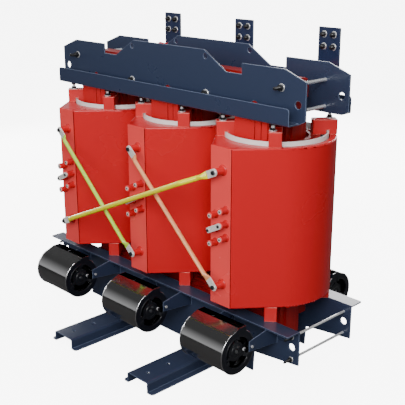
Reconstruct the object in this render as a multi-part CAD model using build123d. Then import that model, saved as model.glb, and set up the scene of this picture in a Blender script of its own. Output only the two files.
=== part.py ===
"""Three-phase cast-resin dry-type power transformer with six cooling fans.

Frame: origin on the ground under the middle limb, +X along the row of coils,
-Y towards the high-voltage face, +Z up.  Millimetres.
"""
from build123d import *
import math
import os

os.makedirs("parts", exist_ok=True)

# ---------------------------------------------------------------- driving sizes
PHASES = ("a", "b", "c")
PITCH = 560.0                  # between limb centres
FIT = 0.3                      # radial clearance of bolts, shafts and inserts

# base channels, hat section, one across under each end window
FOOT_X = 294.0                 # centre of each channel from the middle
FOOT_LENGTH = 1240.0
FOOT_TOP_WIDTH = 146.0
FOOT_FLANGE = 31.0
FOOT_HEIGHT = 55.0
FOOT_WALL = 6.0
FOOT_BEND = 12.0
ANCHOR_HOLE = 7.0              # radius
ANCHOR_INSETS = (67.0, 192.0)  # hole rows from the channel's ends

# lower clamps
LOWER_WEB_Y = 184.0            # inner face of the web
CLAMP_WALL = 8.0
LOWER_CLAMP_HEIGHT = 295.0
LOWER_FLANGE_REACH = 268.0
LOWER_OVERHANG = 328.0         # beyond the outer limb centres
DEEP_HALF = 620.0              # half length of the deep middle of the web
END_DEPTH_INNER = 194.0
END_DEPTH_OUTER = 166.0
LOWER_ROD_INSET = 40.0
LOWER_ROD_DROPS = (38.0, 146.0)
END_HOLE_DROP = 88.0
END_HOLE = 17.0

# core, stepped laminations
CORE_RADIUS = 131.0
LIMB_WIDTHS = (250.0, 225.0, 190.0, 145.0, 95.0)
YOKE_HEIGHT = 160.0
YOKE_DROP = 85.0               # lower yoke middle below the clamp top

# windings
SPACER_LOW = 70.0
COIL_HEIGHT = 725.0
SPACER_HIGH = 67.0
HV_OUTER = 270.0
HV_INNER = 238.0
FLAT_Y = 345.0                 # terminal face from the coil axis
FLAT_HALF = 63.0
CAST_ROUND = 6.0
BARRIER_OUTER = 233.0
BARRIER_WALL = 9.0
BARRIER_STAND = 18.0           # above the coil top
LV_OUTER = 196.0
LV_INNER = 146.0
LV_DUCT = 12.0
LV_DUCT_RIBS = 12
SPACER_ANGLE = 40.0            # from the Y axis
SPACER_INNER = 160.0
SPACER_WIDTH = 56.0
SPACER_ROUND = 3.0
GROOVE_PLAY = 2.0              # round the barrier cylinder in the upper blocks

# high-voltage terminals and taps
HV_BOSS_X = 10.0
HV_BOSS_HIGH = 625.0           # above the coil foot
HV_BOSS_LOW = 105.0
HV_BOSS_LOW_A = 134.0          # first coil, its foot terminal sits a little higher
HV_BOSS_LENGTH = 53.0
HV_BOSS_RADIUS = 26.0
HV_BOSS_TIP = 20.0
TAP_X = 31.0
TAP_HEIGHTS_LEFT = (294.0, 358.0, 422.0)
TAP_HEIGHTS_RIGHT = (327.0, 390.0, 453.0)
TAP_RADIUS = 15.0
TAP_LENGTH = 16.0
TAP_INSERT = 9.0
TAP_INSERT_DEPTH = 13.0
TAP_INSERT_PROUD = 1.5
TAP_BOLT = 4.0
LINK_WIDTH = 26.0
LINK_WALL = 6.0
HV_BOLT = 6.0

# delta bars
BAR_RADIUS = 10.0
BAR_RADIUS_LONG = 12.0
PALM_WALL = 6.0
PALM_WIDTH = 34.0
PALM_LENGTH = 44.0
PALM_TAPER = 26.0
CRANK_OUT = 44.0               # the long bar stands off in front of the short ones
CRANK_RUN = 62.0

# upper clamps
UPPER_FACE_Y = 142.0           # inner face of the plate
UPPER_OVERHANG = 282.0
TROUGH_LIFT = 33.0             # trough underside above the spacer tops
TROUGH_WALL = 6.0
TROUGH_HEIGHT = 75.0
TROUGH_REACH = 240.0
LIP_ROUND = 42.0               # the lip is cut back round under the lifting holes
CREST_HALF = 248.0
CREST_HEIGHT = 259.0
NOTCH_IN = 388.0
NOTCH_OUT = 483.0
NOTCH_HEIGHT = 174.0
SHOULDER_HALF = 726.0
SHOULDER_HEIGHT = 222.0
TIP_HEIGHT = 179.0
FOOT_CHAMFER = (36.0, 19.0)
LIFT_HOLE = 16.5
LIFT_INSET = 40.0
LIFT_HEIGHT = 83.0
CREST_HOLE = 13.0
CREST_HOLE_X = 258.0
CREST_HOLE_HEIGHT = 230.0
SIGHT_HOLE = 20.0
SIGHT_HEIGHT = 50.0
YOKE_MID_HEIGHT = 83.0         # upper yoke middle above the clamp foot
YOKE_BOLT = 9.0
YOKE_BOLT_X = 262.0
YOKE_BOLT_HEIGHT = 63.0
UPPER_ROD = 8.0
UPPER_ROD_OUT = 152.0          # beyond the outer limb centres
UPPER_ROD_HEIGHTS = (27.0, 145.0)
LOWER_ROD = 6.0
ROD_TAIL = 50.0
ROD_TAIL_SHORT = 20.0          # low rods end short of the press bolts
PAD_HEIGHT = 54.0
PAD_OVERHANG = 60.0            # beyond the outer limb centres

# press bolts between trough and spacers
PRESS_BOLT = 8.0
PRESS_X = 146.0
PRESS_Y = 191.0

# low-voltage terminals
LV_BAR_WALL = 10.0
LV_PALM_X = -94.0
LV_PALM_WIDTH = 127.0
LV_PALM_Y = 475.0              # front face
LV_PALM_RISE = 329.0            # top of the palm above the clamp foot
LV_LEAD_X = -36.0
LV_LEAD_WIDTH = 80.0
LV_LEAD_Y = 150.0              # first leg on the winding
LV_LEAD_RISE = 77.0            # underside of the flat run above the coil top
LV_BOLT = 8.0
LV_BOLT_PITCH = 58.0
LV_BOLT_DROP = 34.0
POST_RADIUS = 24.0
SHED_RADIUS = 33.0
POST_HEIGHT = 140.0            # axis above the clamp foot

# fans
FAN_SHIFT = 70.0               # sideways from each coil axis
FAN_Y = 441.0
FAN_Z_FRONT = 295.0
FAN_Z_BACK = 258.0
FAN_RADIUS = 100.0
FAN_LENGTH = 260.0
FAN_WALL = 3.0
MOUTH_START = 60.0             # rear edge of the outlet, degrees from the rear
MOUTH_END = 112.0              # front edge
MOUTH_LIP = 48.0
INLET_RADIUS = 70.0
INLET_DEPTH = 18.0
WHEEL_RADIUS = 62.0
WHEEL_LENGTH = 160.0
WHEEL_INSET = 12.0
BLADES = 16
BLADE_WALL = 2.0
BLADE_DEPTH = 13.0
BLADE_ANGLE = 35.0
SHAFT_RADIUS = 8.0
MOTOR_RADIUS = 40.0
MOTOR_LENGTH = 56.0
SPIDER_WALL = 6.0
SPIDER_RECESS = 12.0
SPIDER_ARM = 16.0
GLAND_Y = 30.0
GLAND_RADIUS = 6.0
GLAND_LENGTH = 26.0
BRACKET_WALL = 4.0
BRACKET_LAP = 34.0             # over the rear of the fan's end plate
BRACKET_DROP = 20.0
BRACKET_RISE = 28.0
FAN_BOLT = 4.0

# ---------------------------------------------------------------- derived levels
CLAMP_TOP = FOOT_HEIGHT + LOWER_CLAMP_HEIGHT
COIL_FOOT = CLAMP_TOP + SPACER_LOW
COIL_TOP = COIL_FOOT + COIL_HEIGHT
SPACER_TOP = COIL_TOP + SPACER_HIGH
UPPER_FOOT = SPACER_TOP + TROUGH_LIFT
LOWER_YOKE_Z = CLAMP_TOP - YOKE_DROP
UPPER_YOKE_Z = UPPER_FOOT + YOKE_MID_HEIGHT
LV_PALM_TOP = UPPER_FOOT + LV_PALM_RISE
LOWER_HALF = PITCH + LOWER_OVERHANG
UPPER_HALF = PITCH + UPPER_OVERHANG
COIL_X = {"a": -PITCH, "b": 0.0, "c": PITCH}
STEP_DEPTHS = [math.sqrt(CORE_RADIUS ** 2 - (w / 2) ** 2) for w in LIMB_WIDTHS]
YOKE_STEPS = [YOKE_HEIGHT * w / LIMB_WIDTHS[0] for w in LIMB_WIDTHS]
CORE_DEPTH = STEP_DEPTHS[-1]
UPPER_OUT_Y = UPPER_FACE_Y + CLAMP_WALL
LOWER_OUT_Y = LOWER_WEB_Y + CLAMP_WALL
BOSS_TIP_Y = FLAT_Y + HV_BOSS_LENGTH
TAP_TIP_Y = FLAT_Y + TAP_LENGTH + TAP_INSERT_PROUD
HV_HIGH_Z = COIL_FOOT + HV_BOSS_HIGH
HV_LOW_Z = {"a": COIL_FOOT + HV_BOSS_LOW_A, "b": COIL_FOOT + HV_BOSS_LOW,
            "c": COIL_FOOT + HV_BOSS_LOW}


# ---------------------------------------------------------------- plain helpers
def block(x0, x1, y0, y1, z0, z1):
    """Box between two opposite corners."""
    middle = Pos((x0 + x1) / 2, (y0 + y1) / 2, (z0 + z1) / 2)
    return middle * Box(x1 - x0, y1 - y0, z1 - z0)


def rod_x(y, z, radius, x0, x1):
    return Pos((x0 + x1) / 2, y, z) * Rot(0, 90, 0) * Cylinder(radius, x1 - x0)


def rod_y(x, z, radius, y0, y1):
    return Pos(x, (y0 + y1) / 2, z) * Rot(90, 0, 0) * Cylinder(radius, y1 - y0)


def rod_z(x, y, radius, z0, z1):
    return Pos(x, y, (z0 + z1) / 2) * Cylinder(radius, z1 - z0)


def hex_y(x, z, radius, y0, y1):
    """Hexagon nut or head with its axis along Y."""
    return extrude(Plane.XZ.offset(-y1) * Pos(x, z) * RegularPolygon(radius, 6), y1 - y0)


def hex_z(x, y, radius, z0, z1):
    return extrude(Plane.XY.offset(z0) * Pos(x, y) * RegularPolygon(radius, 6), z1 - z0)


def plate_xz(points, y0, y1):
    """Flat plate with an outline in X and Z, thick in Y."""
    return extrude(Plane.XZ.offset(-y1) * make_face(Polyline(*points, close=True)), y1 - y0)


def plate_yz(points, x0, x1):
    """Flat plate with an outline in Y and Z, thick in X."""
    return extrude(Plane.YZ.offset(x0) * make_face(Polyline(*points, close=True)), x1 - x0)


def mirror_y(shape):
    return mirror(shape, about=Plane.XZ)


def both_ends(points):
    """Close a half outline, given for +X, by its mirror image."""
    return points + [(-x, z) for x, z in reversed(points)]


def solids(shapes):
    """Group separate solids under one node."""
    return Compound(children=[part for shape in shapes for part in shape.solids()])


def save(name, shape):
    shape.label = name
    export_step(shape, f"parts/{name}.step")


# ---------------------------------------------------------------- base and clamps
def base_channel(x):
    """Pressed hat-section cross member with two anchor holes at each end."""
    crown = FOOT_TOP_WIDTH / 2
    inner = crown - FOOT_WALL
    tip = crown + FOOT_FLANGE
    half = [(tip, 0), (tip, FOOT_WALL), (crown, FOOT_WALL), (crown, FOOT_HEIGHT)]
    under = [(inner, FOOT_HEIGHT - FOOT_WALL), (inner, 0)]
    outline = half + [(-px, pz) for px, pz in reversed(half)]
    outline += [(-px, pz) for px, pz in reversed(under)] + under
    y = FOOT_LENGTH / 2
    body = plate_xz([(x + px, pz) for px, pz in outline], -y, y)
    crown_edges = [e for e in body.edges().filter_by(Axis.Y)
                   if abs(e.center().Z - FOOT_HEIGHT) < 1e-6]
    body = fillet(crown_edges, FOOT_BEND)
    tips = [e for e in body.edges().filter_by(Axis.Z)
            if abs(abs(e.center().X - x) - tip) < 1e-6]
    body = fillet(tips, FOOT_FLANGE / 2)
    for inset in ANCHOR_INSETS:
        for side in (-1, 1):
            body -= rod_z(x, side * (y - inset), ANCHOR_HOLE, 0, FOOT_HEIGHT + 1)
    return body


def fan_bracket(x0, fan_z, side):
    """Trapezoid cheek welded under the clamp flange that carries one end of a fan."""
    reach = FAN_Y - FAN_RADIUS + BRACKET_LAP
    top = CLAMP_TOP - CLAMP_WALL
    points = [(LOWER_OUT_Y, top), (LOWER_FLANGE_REACH, top),
              (reach, fan_z + BRACKET_RISE), (reach, fan_z - BRACKET_DROP),
              (LOWER_OUT_Y, fan_z - 2 * BRACKET_DROP)]
    cheek = plate_yz([(side * y, z) for y, z in points], x0, x0 + BRACKET_WALL)
    return cheek - rod_x(side * fan_bolt_y(), fan_z, FAN_BOLT + FIT, x0 - 1, x0 + BRACKET_WALL + 1)


def fan_bolt_y():
    """Distance of the fan's fixing bolts from the middle plane."""
    return FAN_Y - FAN_RADIUS + BRACKET_LAP / 2


def fan_places():
    """Name, middle X, side and height of each fan."""
    places = []
    for side, height, tag in ((-1, FAN_Z_FRONT, "front"), (1, FAN_Z_BACK, "back")):
        for phase in PHASES:
            places.append((f"{tag}_{phase}", COIL_X[phase] - side * FAN_SHIFT, side, height))
    return places


def lower_clamp(side):
    """Folded steel clamp: deep web, outward top flange, fan brackets."""
    deep_foot = FOOT_HEIGHT
    outline = both_ends([
        (DEEP_HALF, deep_foot), (DEEP_HALF + 6, CLAMP_TOP - END_DEPTH_INNER),
        (LOWER_HALF, CLAMP_TOP - END_DEPTH_OUTER), (LOWER_HALF, CLAMP_TOP)])
    web = plate_xz(outline, LOWER_WEB_Y, LOWER_OUT_Y)
    flange = block(-LOWER_HALF, LOWER_HALF, LOWER_WEB_Y, LOWER_FLANGE_REACH,
                   CLAMP_TOP - CLAMP_WALL, CLAMP_TOP)
    body = web + flange
    fold = [e for e in body.edges().filter_by(Axis.X)
            if abs(e.center().Y - LOWER_WEB_Y) < 1e-6 and abs(e.center().Z - CLAMP_TOP) < 1e-6]
    body = fillet(fold, CLAMP_WALL)
    corners = [e for e in body.edges().filter_by(Axis.Z)
               if abs(e.center().Y - LOWER_FLANGE_REACH) < 1e-6]
    body = fillet(corners, CLAMP_WALL)
    for end in (-1, 1):
        x = end * (LOWER_HALF - LOWER_ROD_INSET)
        for drop in LOWER_ROD_DROPS:
            body -= rod_y(x, CLAMP_TOP - drop, LOWER_ROD + FIT, LOWER_WEB_Y - 1, LOWER_OUT_Y + 1)
        body -= rod_y(x, CLAMP_TOP - END_HOLE_DROP, END_HOLE, LOWER_WEB_Y - 1, LOWER_OUT_Y + 1)
    if side < 0:
        body = mirror_y(body)
    for _, x, fan_side, height in fan_places():
        if fan_side == side:
            body += fan_bracket(x + FAN_LENGTH / 2, height, side)
            body += fan_bracket(x - FAN_LENGTH / 2 - BRACKET_WALL, height, side)
    return body


def upper_clamp(side):
    """Profiled clamp plate with a folded trough along its outer face."""
    z = UPPER_FOOT
    outline = both_ends([
        (UPPER_HALF - FOOT_CHAMFER[0], z), (UPPER_HALF, z + FOOT_CHAMFER[1]),
        (UPPER_HALF, z + TIP_HEIGHT), (SHOULDER_HALF, z + SHOULDER_HEIGHT),
        (NOTCH_OUT, z + SHOULDER_HEIGHT), (NOTCH_OUT, z + NOTCH_HEIGHT),
        (NOTCH_IN, z + NOTCH_HEIGHT), (CREST_HALF, z + CREST_HEIGHT)])
    body = plate_xz(outline, UPPER_FACE_Y, UPPER_OUT_Y)
    reach = UPPER_HALF - FOOT_CHAMFER[0]
    trough = block(-reach, reach, UPPER_OUT_Y, TROUGH_REACH, z, z + TROUGH_WALL)
    trough += block(-reach, reach, TROUGH_REACH - TROUGH_WALL, TROUGH_REACH, z, z + TROUGH_HEIGHT)
    fold = [e for e in trough.edges().filter_by(Axis.X)
            if abs(e.center().Y - TROUGH_REACH) < 1e-6 and abs(e.center().Z - z) < 1e-6]
    trough = fillet(fold, TROUGH_WALL)
    lips = [e for e in trough.edges().filter_by(Axis.Y)
            if abs(e.center().Z - z - TROUGH_HEIGHT) < 1e-6]
    trough = fillet(lips, LIP_ROUND)
    body += trough
    y0, y1 = UPPER_FACE_Y - 1, UPPER_OUT_Y + 1
    for end in (-1, 1):
        body -= rod_y(end * (UPPER_HALF - LIFT_INSET), z + LIFT_HEIGHT, LIFT_HOLE, y0, y1)
        body -= rod_y(end * CREST_HOLE_X, z + CREST_HOLE_HEIGHT, CREST_HOLE, y0, y1)
        body -= rod_y(end * YOKE_BOLT_X, z + YOKE_BOLT_HEIGHT, YOKE_BOLT + FIT, y0, y1)
        for height in UPPER_ROD_HEIGHTS:
            body -= rod_y(end * (PITCH + UPPER_ROD_OUT), z + height, UPPER_ROD + FIT, y0, y1)
    for phase in PHASES:
        body -= rod_y(COIL_X[phase], z + SIGHT_HEIGHT, SIGHT_HOLE, y0, y1)
        for end in (-1, 1):
            body -= rod_z(COIL_X[phase] + end * PRESS_X, PRESS_Y, PRESS_BOLT + FIT,
                          z - 1, z + TROUGH_WALL + 1)
    return mirror_y(body) if side < 0 else body


# ---------------------------------------------------------------- core
def bands():
    """Front-to-back bands of lamination, each with its step number."""
    rows = [(0, -STEP_DEPTHS[0], STEP_DEPTHS[0])]
    for step in range(1, len(LIMB_WIDTHS)):
        inner, outer = STEP_DEPTHS[step - 1], STEP_DEPTHS[step]
        rows += [(step, inner, outer), (step, -outer, -inner)]
    return rows


def core_frame():
    """Three stepped limbs standing on the lower yoke."""
    body = None
    for step, y0, y1 in bands():
        half = LIMB_WIDTHS[step] / 2
        rise = YOKE_STEPS[step] / 2
        sheet = block(-PITCH - half, PITCH + half, y0, y1, LOWER_YOKE_Z - rise, LOWER_YOKE_Z + rise)
        for x in COIL_X.values():
            sheet += block(x - half, x + half, y0, y1, LOWER_YOKE_Z, UPPER_YOKE_Z - rise)
        body = sheet if body is None else body + sheet
    return body


def upper_yoke():
    """Stepped yoke laid across the three limb tops."""
    body = None
    for step, y0, y1 in bands():
        half = LIMB_WIDTHS[step] / 2
        rise = YOKE_STEPS[step] / 2
        sheet = block(-PITCH - half, PITCH + half, y0, y1, UPPER_YOKE_Z - rise, UPPER_YOKE_Z + rise)
        body = sheet if body is None else body + sheet
    for end in (-1, 1):
        body -= rod_y(end * YOKE_BOLT_X, UPPER_FOOT + YOKE_BOLT_HEIGHT, YOKE_BOLT + FIT,
                      -CORE_DEPTH - 1, CORE_DEPTH + 1)
    return body


def yoke_pads(face_y, mid_z, bolt_z=None):
    """Pressboard bars that fill the space between yoke and clamp."""
    half = PITCH + PAD_OVERHANG
    bars = []
    for side in (-1, 1):
        y0, y1 = sorted((side * CORE_DEPTH, side * face_y))
        bar = block(-half, half, y0, y1, mid_z - PAD_HEIGHT / 2, mid_z + PAD_HEIGHT / 2)
        if bolt_z is not None:
            for end in (-1, 1):
                bar -= rod_y(end * YOKE_BOLT_X, bolt_z, YOKE_BOLT + FIT, y0 - 1, y1 + 1)
        bars.append(bar)
    return solids(bars)


# ---------------------------------------------------------------- windings
def cast_outline():
    """Round coil drawn out to a flat terminal face, the sides tangent to the round."""
    corner = math.hypot(FLAT_HALF, FLAT_Y)
    turn = math.atan2(FLAT_HALF, FLAT_Y) + math.acos(HV_OUTER / corner)
    touch = (HV_OUTER * math.sin(turn), -HV_OUTER * math.cos(turn))
    left = (-touch[0], touch[1])
    back = ThreePointArc(touch, (0, HV_OUTER), left)
    front = Polyline(left, (-FLAT_HALF, -FLAT_Y), (FLAT_HALF, -FLAT_Y), touch)
    return make_face(back.edges() + front.edges())


def hv_coil(phase):
    """Cast-resin high-voltage winding with its terminal bosses."""
    body = extrude(cast_outline(), COIL_HEIGHT)
    corners = [e for e in body.edges().filter_by(Axis.Z)
               if e.center().Y < -FLAT_Y + 1]
    body = fillet(corners, CAST_ROUND)
    rims = body.faces().sort_by(Axis.Z)
    body = fillet(rims[-1].edges() + rims[0].edges(), CAST_ROUND)
    body = Pos(COIL_X[phase], 0, COIL_FOOT) * body
    x = COIL_X[phase]
    for z in (HV_HIGH_Z, HV_LOW_Z[phase]):
        at = Pos(x + HV_BOSS_X, -FLAT_Y - HV_BOSS_LENGTH / 2, z) * Rot(90, 0, 0)
        body += at * Cone(HV_BOSS_RADIUS, HV_BOSS_TIP, HV_BOSS_LENGTH)
    for tap_x, z in tap_places(phase):
        body += rod_y(tap_x, z, TAP_RADIUS, -FLAT_Y - TAP_LENGTH, -FLAT_Y + 1)
        body -= rod_y(tap_x, z, TAP_INSERT + FIT, -FLAT_Y - TAP_LENGTH - 1,
                      -FLAT_Y - TAP_LENGTH + TAP_INSERT_DEPTH)
    for z in (HV_HIGH_Z, HV_LOW_Z[phase]):
        body -= rod_y(x + HV_BOSS_X, z, HV_BOLT + FIT, -BOSS_TIP_Y - 1,
                      -FLAT_Y - HV_BOSS_LENGTH / 2)
    return body - rod_z(x, 0, HV_INNER, COIL_FOOT - 1, COIL_TOP + 1)


def tap_places(phase):
    """Centres of the six tap bosses on one terminal face."""
    x = COIL_X[phase]
    left = [(x - TAP_X, COIL_FOOT + h) for h in TAP_HEIGHTS_LEFT]
    right = [(x + TAP_X, COIL_FOOT + h) for h in TAP_HEIGHTS_RIGHT]
    return left + right


def linked_taps(phase):
    """The middle pair of taps, joined by the link."""
    places = tap_places(phase)
    return places[1], places[len(TAP_HEIGHTS_LEFT) + 1]


def lv_coil(phase):
    """Foil winding in two layers with an air duct between them."""
    x = COIL_X[phase]
    half_wall = (LV_OUTER - LV_INNER - LV_DUCT) / 2
    duct_in, duct_out = LV_INNER + half_wall, LV_OUTER - half_wall
    ring = Circle(LV_OUTER) - Circle(duct_out) + (Circle(duct_in) - Circle(LV_INNER))
    middle = (duct_in + duct_out) / 2
    for k in range(LV_DUCT_RIBS):
        turn = Rot(0, 0, (k + 0.5) * 360 / LV_DUCT_RIBS)
        ring += turn * Pos(middle, 0) * Rectangle(LV_DUCT + 2, LV_DUCT)
    return Pos(x, 0, COIL_FOOT) * extrude(ring, COIL_HEIGHT)


def barrier_cylinder(phase):
    """Insulating tube between the two windings."""
    ring = Circle(BARRIER_OUTER) - Circle(BARRIER_OUTER - BARRIER_WALL)
    return Pos(COIL_X[phase], 0, COIL_FOOT) * extrude(ring, COIL_HEIGHT + BARRIER_STAND)


def spacers(phase, z0, z1, groove):
    """Four support blocks, radial, under or over one coil."""
    reach = HV_OUTER
    blocks = []
    for angle in (SPACER_ANGLE, 180 - SPACER_ANGLE, 180 + SPACER_ANGLE, 360 - SPACER_ANGLE):
        piece = block(-SPACER_WIDTH / 2, SPACER_WIDTH / 2, SPACER_INNER, reach, z0, z1)
        piece = fillet(piece.edges().filter_by(Axis.Z), SPACER_ROUND)
        piece = Pos(COIL_X[phase], 0, 0) * Rot(0, 0, angle) * piece
        if groove:
            ring = Circle(BARRIER_OUTER + GROOVE_PLAY)
            ring -= Circle(BARRIER_OUTER - BARRIER_WALL - GROOVE_PLAY)
            cut = extrude(Plane.XY.offset(z0 - 1) * ring, BARRIER_STAND + GROOVE_PLAY + 1)
            piece -= Pos(COIL_X[phase], 0, 0) * cut
        blocks.append(piece)
    return solids(blocks)


# ---------------------------------------------------------------- fasteners
def press_bolts():
    """Studs through the trough floor that hold the spacers down."""
    studs = []
    floor = UPPER_FOOT + TROUGH_WALL
    nut = PRESS_BOLT * 1.6
    for x in COIL_X.values():
        for end in (-1, 1):
            for side in (-1, 1):
                bx, by = x + end * PRESS_X, side * PRESS_Y
                stud = rod_z(bx, by, PRESS_BOLT, SPACER_TOP, floor + 3.2 * PRESS_BOLT)
                stud += rod_z(bx, by, 2.2 * PRESS_BOLT, SPACER_TOP, SPACER_TOP + PRESS_BOLT / 2)
                stud += hex_z(bx, by, nut, UPPER_FOOT - PRESS_BOLT, UPPER_FOOT)
                stud += hex_z(bx, by, nut, floor, floor + 1.5 * PRESS_BOLT)
                studs.append(stud)
    return solids(studs)


def through_bolt(x, z, radius, face_y, tail):
    """Stud from front to back with a washer and nut on each outer face."""
    bolt = rod_y(x, z, radius, -face_y - tail, face_y + tail)
    for side in (-1, 1):
        y0, y1 = sorted((side * face_y, side * (face_y + radius / 3)))
        bolt += rod_y(x, z, 2.1 * radius, y0, y1)
        y0, y1 = sorted((side * (face_y + radius / 3), side * (face_y + 2 * radius)))
        bolt += hex_y(x, z, 1.75 * radius, y0, y1)
    return bolt


def yoke_bolts():
    z = UPPER_FOOT + YOKE_BOLT_HEIGHT
    return solids([through_bolt(end * YOKE_BOLT_X, z, YOKE_BOLT, UPPER_OUT_Y, 3 * YOKE_BOLT)
                   for end in (-1, 1)])


def upper_tie_rods():
    tails = (ROD_TAIL_SHORT, ROD_TAIL)
    return solids([through_bolt(end * (PITCH + UPPER_ROD_OUT), UPPER_FOOT + height,
                                UPPER_ROD, UPPER_OUT_Y, tail)
                   for end in (-1, 1) for height, tail in zip(UPPER_ROD_HEIGHTS, tails)])


def lower_tie_rods():
    return solids([through_bolt(end * (LOWER_HALF - LOWER_ROD_INSET), CLAMP_TOP - drop,
                                LOWER_ROD, LOWER_OUT_Y, ROD_TAIL)
                   for end in (-1, 1) for drop in LOWER_ROD_DROPS])


def bolt_head(x, z, radius, y_face, depth):
    """Hexagon bolt with a washer, driven in along +Y from the face at y_face."""
    bolt = rod_y(x, z, radius, y_face, y_face + depth)
    bolt += rod_y(x, z, 2 * radius, y_face - radius / 3, y_face)
    return bolt + hex_y(x, z, 1.7 * radius, y_face - 1.6 * radius, y_face - radius / 3)


def hv_terminal_bolts():
    bolts = []
    depth = PALM_WALL + HV_BOSS_LENGTH / 2 - 2
    for phase in PHASES:
        for z in (HV_HIGH_Z, HV_LOW_Z[phase]):
            bolts.append(bolt_head(COIL_X[phase] + HV_BOSS_X, z, HV_BOLT,
                                   -BOSS_TIP_Y - PALM_WALL, depth))
    return solids(bolts)


def tap_inserts():
    """Threaded sleeves cast into the tap bosses."""
    sleeves = []
    for phase in PHASES:
        for x, z in tap_places(phase):
            sleeve = rod_y(x, z, TAP_INSERT, -TAP_TIP_Y, -FLAT_Y - TAP_LENGTH + TAP_INSERT_DEPTH)
            sleeve -= rod_y(x, z, TAP_BOLT + FIT, -TAP_TIP_Y - 1, -FLAT_Y)
            sleeves.append(sleeve)
    return solids(sleeves)


def tap_links():
    """Slanted strip across the chosen pair of taps on each coil."""
    links = []
    for phase in PHASES:
        (x0, z0), (x1, z1) = linked_taps(phase)
        span = math.hypot(x1 - x0, z1 - z0)
        tilt = math.degrees(math.atan2(z1 - z0, x1 - x0))
        strip = SlotCenterToCenter(span, LINK_WIDTH)
        strip -= Pos(-span / 2, 0) * Circle(TAP_BOLT + FIT)
        strip -= Pos(span / 2, 0) * Circle(TAP_BOLT + FIT)
        at = Plane.XZ.offset(TAP_TIP_Y) * Pos((x0 + x1) / 2, (z0 + z1) / 2) * Rot(0, 0, tilt)
        links.append(extrude(at * strip, LINK_WALL))
    return solids(links)


def tap_bolts():
    depth = LINK_WALL + TAP_INSERT_DEPTH - 2
    return solids([bolt_head(x, z, TAP_BOLT, -TAP_TIP_Y - LINK_WALL, depth)
                   for phase in PHASES for x, z in linked_taps(phase)])


# ---------------------------------------------------------------- delta bars
def palm(radius):
    """Flattened end of a bar: eye at the origin, growing along +X, rear face at Y = 0."""
    slab = block(0, PALM_LENGTH, -PALM_WALL, 0, -PALM_WIDTH / 2, PALM_WIDTH / 2)
    slab += rod_y(0, 0, PALM_WIDTH / 2, -PALM_WALL, 0)
    flat = Plane.YZ.offset(PALM_LENGTH) * Pos(-PALM_WALL / 2, 0) * Rectangle(PALM_WALL, PALM_WIDTH)
    full = Plane.YZ.offset(PALM_LENGTH + PALM_TAPER) * Pos(-radius, 0) * Circle(radius)
    slab += loft([flat, full])
    return slab - rod_y(0, 0, HV_BOLT + FIT, -PALM_WALL - 1, 1)


def delta_bar(start, end, radius, crank):
    """Round bar between two terminals, both given as X and Z."""
    span = math.hypot(end[0] - start[0], end[1] - start[1])
    tilt = math.degrees(math.atan2(end[1] - start[1], end[0] - start[0]))
    root = PALM_LENGTH + PALM_TAPER
    bar = palm(radius) + Pos(span, 0, 0) * Rot(0, 0, 180) * mirror_y(palm(radius))
    if crank:
        bend = root + CRANK_RUN / 2
        out = -radius - crank
        path = FilletPolyline((root, -radius, 0), (bend, -radius, 0), (bend + CRANK_RUN, out, 0),
                              (span - bend - CRANK_RUN, out, 0), (span - bend, -radius, 0),
                              (span - root, -radius, 0), radius=2 * radius)
        bar += sweep(Plane.YZ.offset(root) * Pos(-radius, 0) * Circle(radius), path=path)
    else:
        bar += rod_x(-radius, 0, radius, root, span - root)
    return Pos(start[0], -BOSS_TIP_Y, start[1]) * Rot(0, -tilt, 0) * bar


def delta_bars():
    """The three bars that close the winding, top of one coil to the foot of the next."""
    high = {p: (COIL_X[p] + HV_BOSS_X, HV_HIGH_Z) for p in PHASES}
    low = {p: (COIL_X[p] + HV_BOSS_X, HV_LOW_Z[p]) for p in PHASES}
    return {"delta_bar_ab": delta_bar(high["a"], low["b"], BAR_RADIUS, 0),
            "delta_bar_bc": delta_bar(high["b"], low["c"], BAR_RADIUS, 0),
            "delta_bar_ca": delta_bar(low["a"], high["c"], BAR_RADIUS_LONG, CRANK_OUT)}


# ---------------------------------------------------------------- low-voltage side
def lv_terminal(phase):
    """Copper bar from the low-voltage winding up to its connection palm."""
    x = COIL_X[phase]
    lead0 = x + LV_LEAD_X - LV_LEAD_WIDTH / 2
    lead1 = lead0 + LV_LEAD_WIDTH
    palm0 = x + LV_PALM_X - LV_PALM_WIDTH / 2
    palm1 = palm0 + LV_PALM_WIDTH
    run = COIL_TOP + LV_LEAD_RISE
    back = LV_PALM_Y + LV_BAR_WALL
    body = block(lead0, lead1, LV_LEAD_Y - LV_BAR_WALL, LV_LEAD_Y, COIL_TOP, run + LV_BAR_WALL)
    body += block(lead0, lead1, LV_LEAD_Y - LV_BAR_WALL, back, run, run + LV_BAR_WALL)
    body += block(palm0, lead1, back - LV_LEAD_WIDTH, back, run, run + LV_BAR_WALL)
    body += block(palm0, palm1, LV_PALM_Y, back, run, LV_PALM_TOP)
    fold = [e for e in body.edges().filter_by(Axis.X)
            if abs(e.center().Y - back) < 1e-6 and abs(e.center().Z - run) < 1e-6]
    body = fillet(fold, LV_BAR_WALL)
    ears = [e for e in body.edges().filter_by(Axis.Y) if abs(e.center().Z - LV_PALM_TOP) < 1e-6]
    body = fillet(ears, LV_BAR_WALL / 2)
    for bx, bz in lv_bolt_places(phase):
        body -= rod_y(bx, bz, LV_BOLT + FIT, LV_PALM_Y - 1, back + 1)
    return body - rod_y(x + LV_PALM_X, UPPER_FOOT + POST_HEIGHT, LV_BOLT + FIT,
                        LV_PALM_Y - 1, back + 1)


def lv_bolt_places(phase):
    """Two by two bolt holes near the top of the palm."""
    x = COIL_X[phase] + LV_PALM_X
    top = LV_PALM_TOP - LV_BOLT_DROP
    return [(x + sx * LV_BOLT_PITCH / 2, z) for sx in (-1, 1) for z in (top, top - LV_BOLT_PITCH)]


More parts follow.
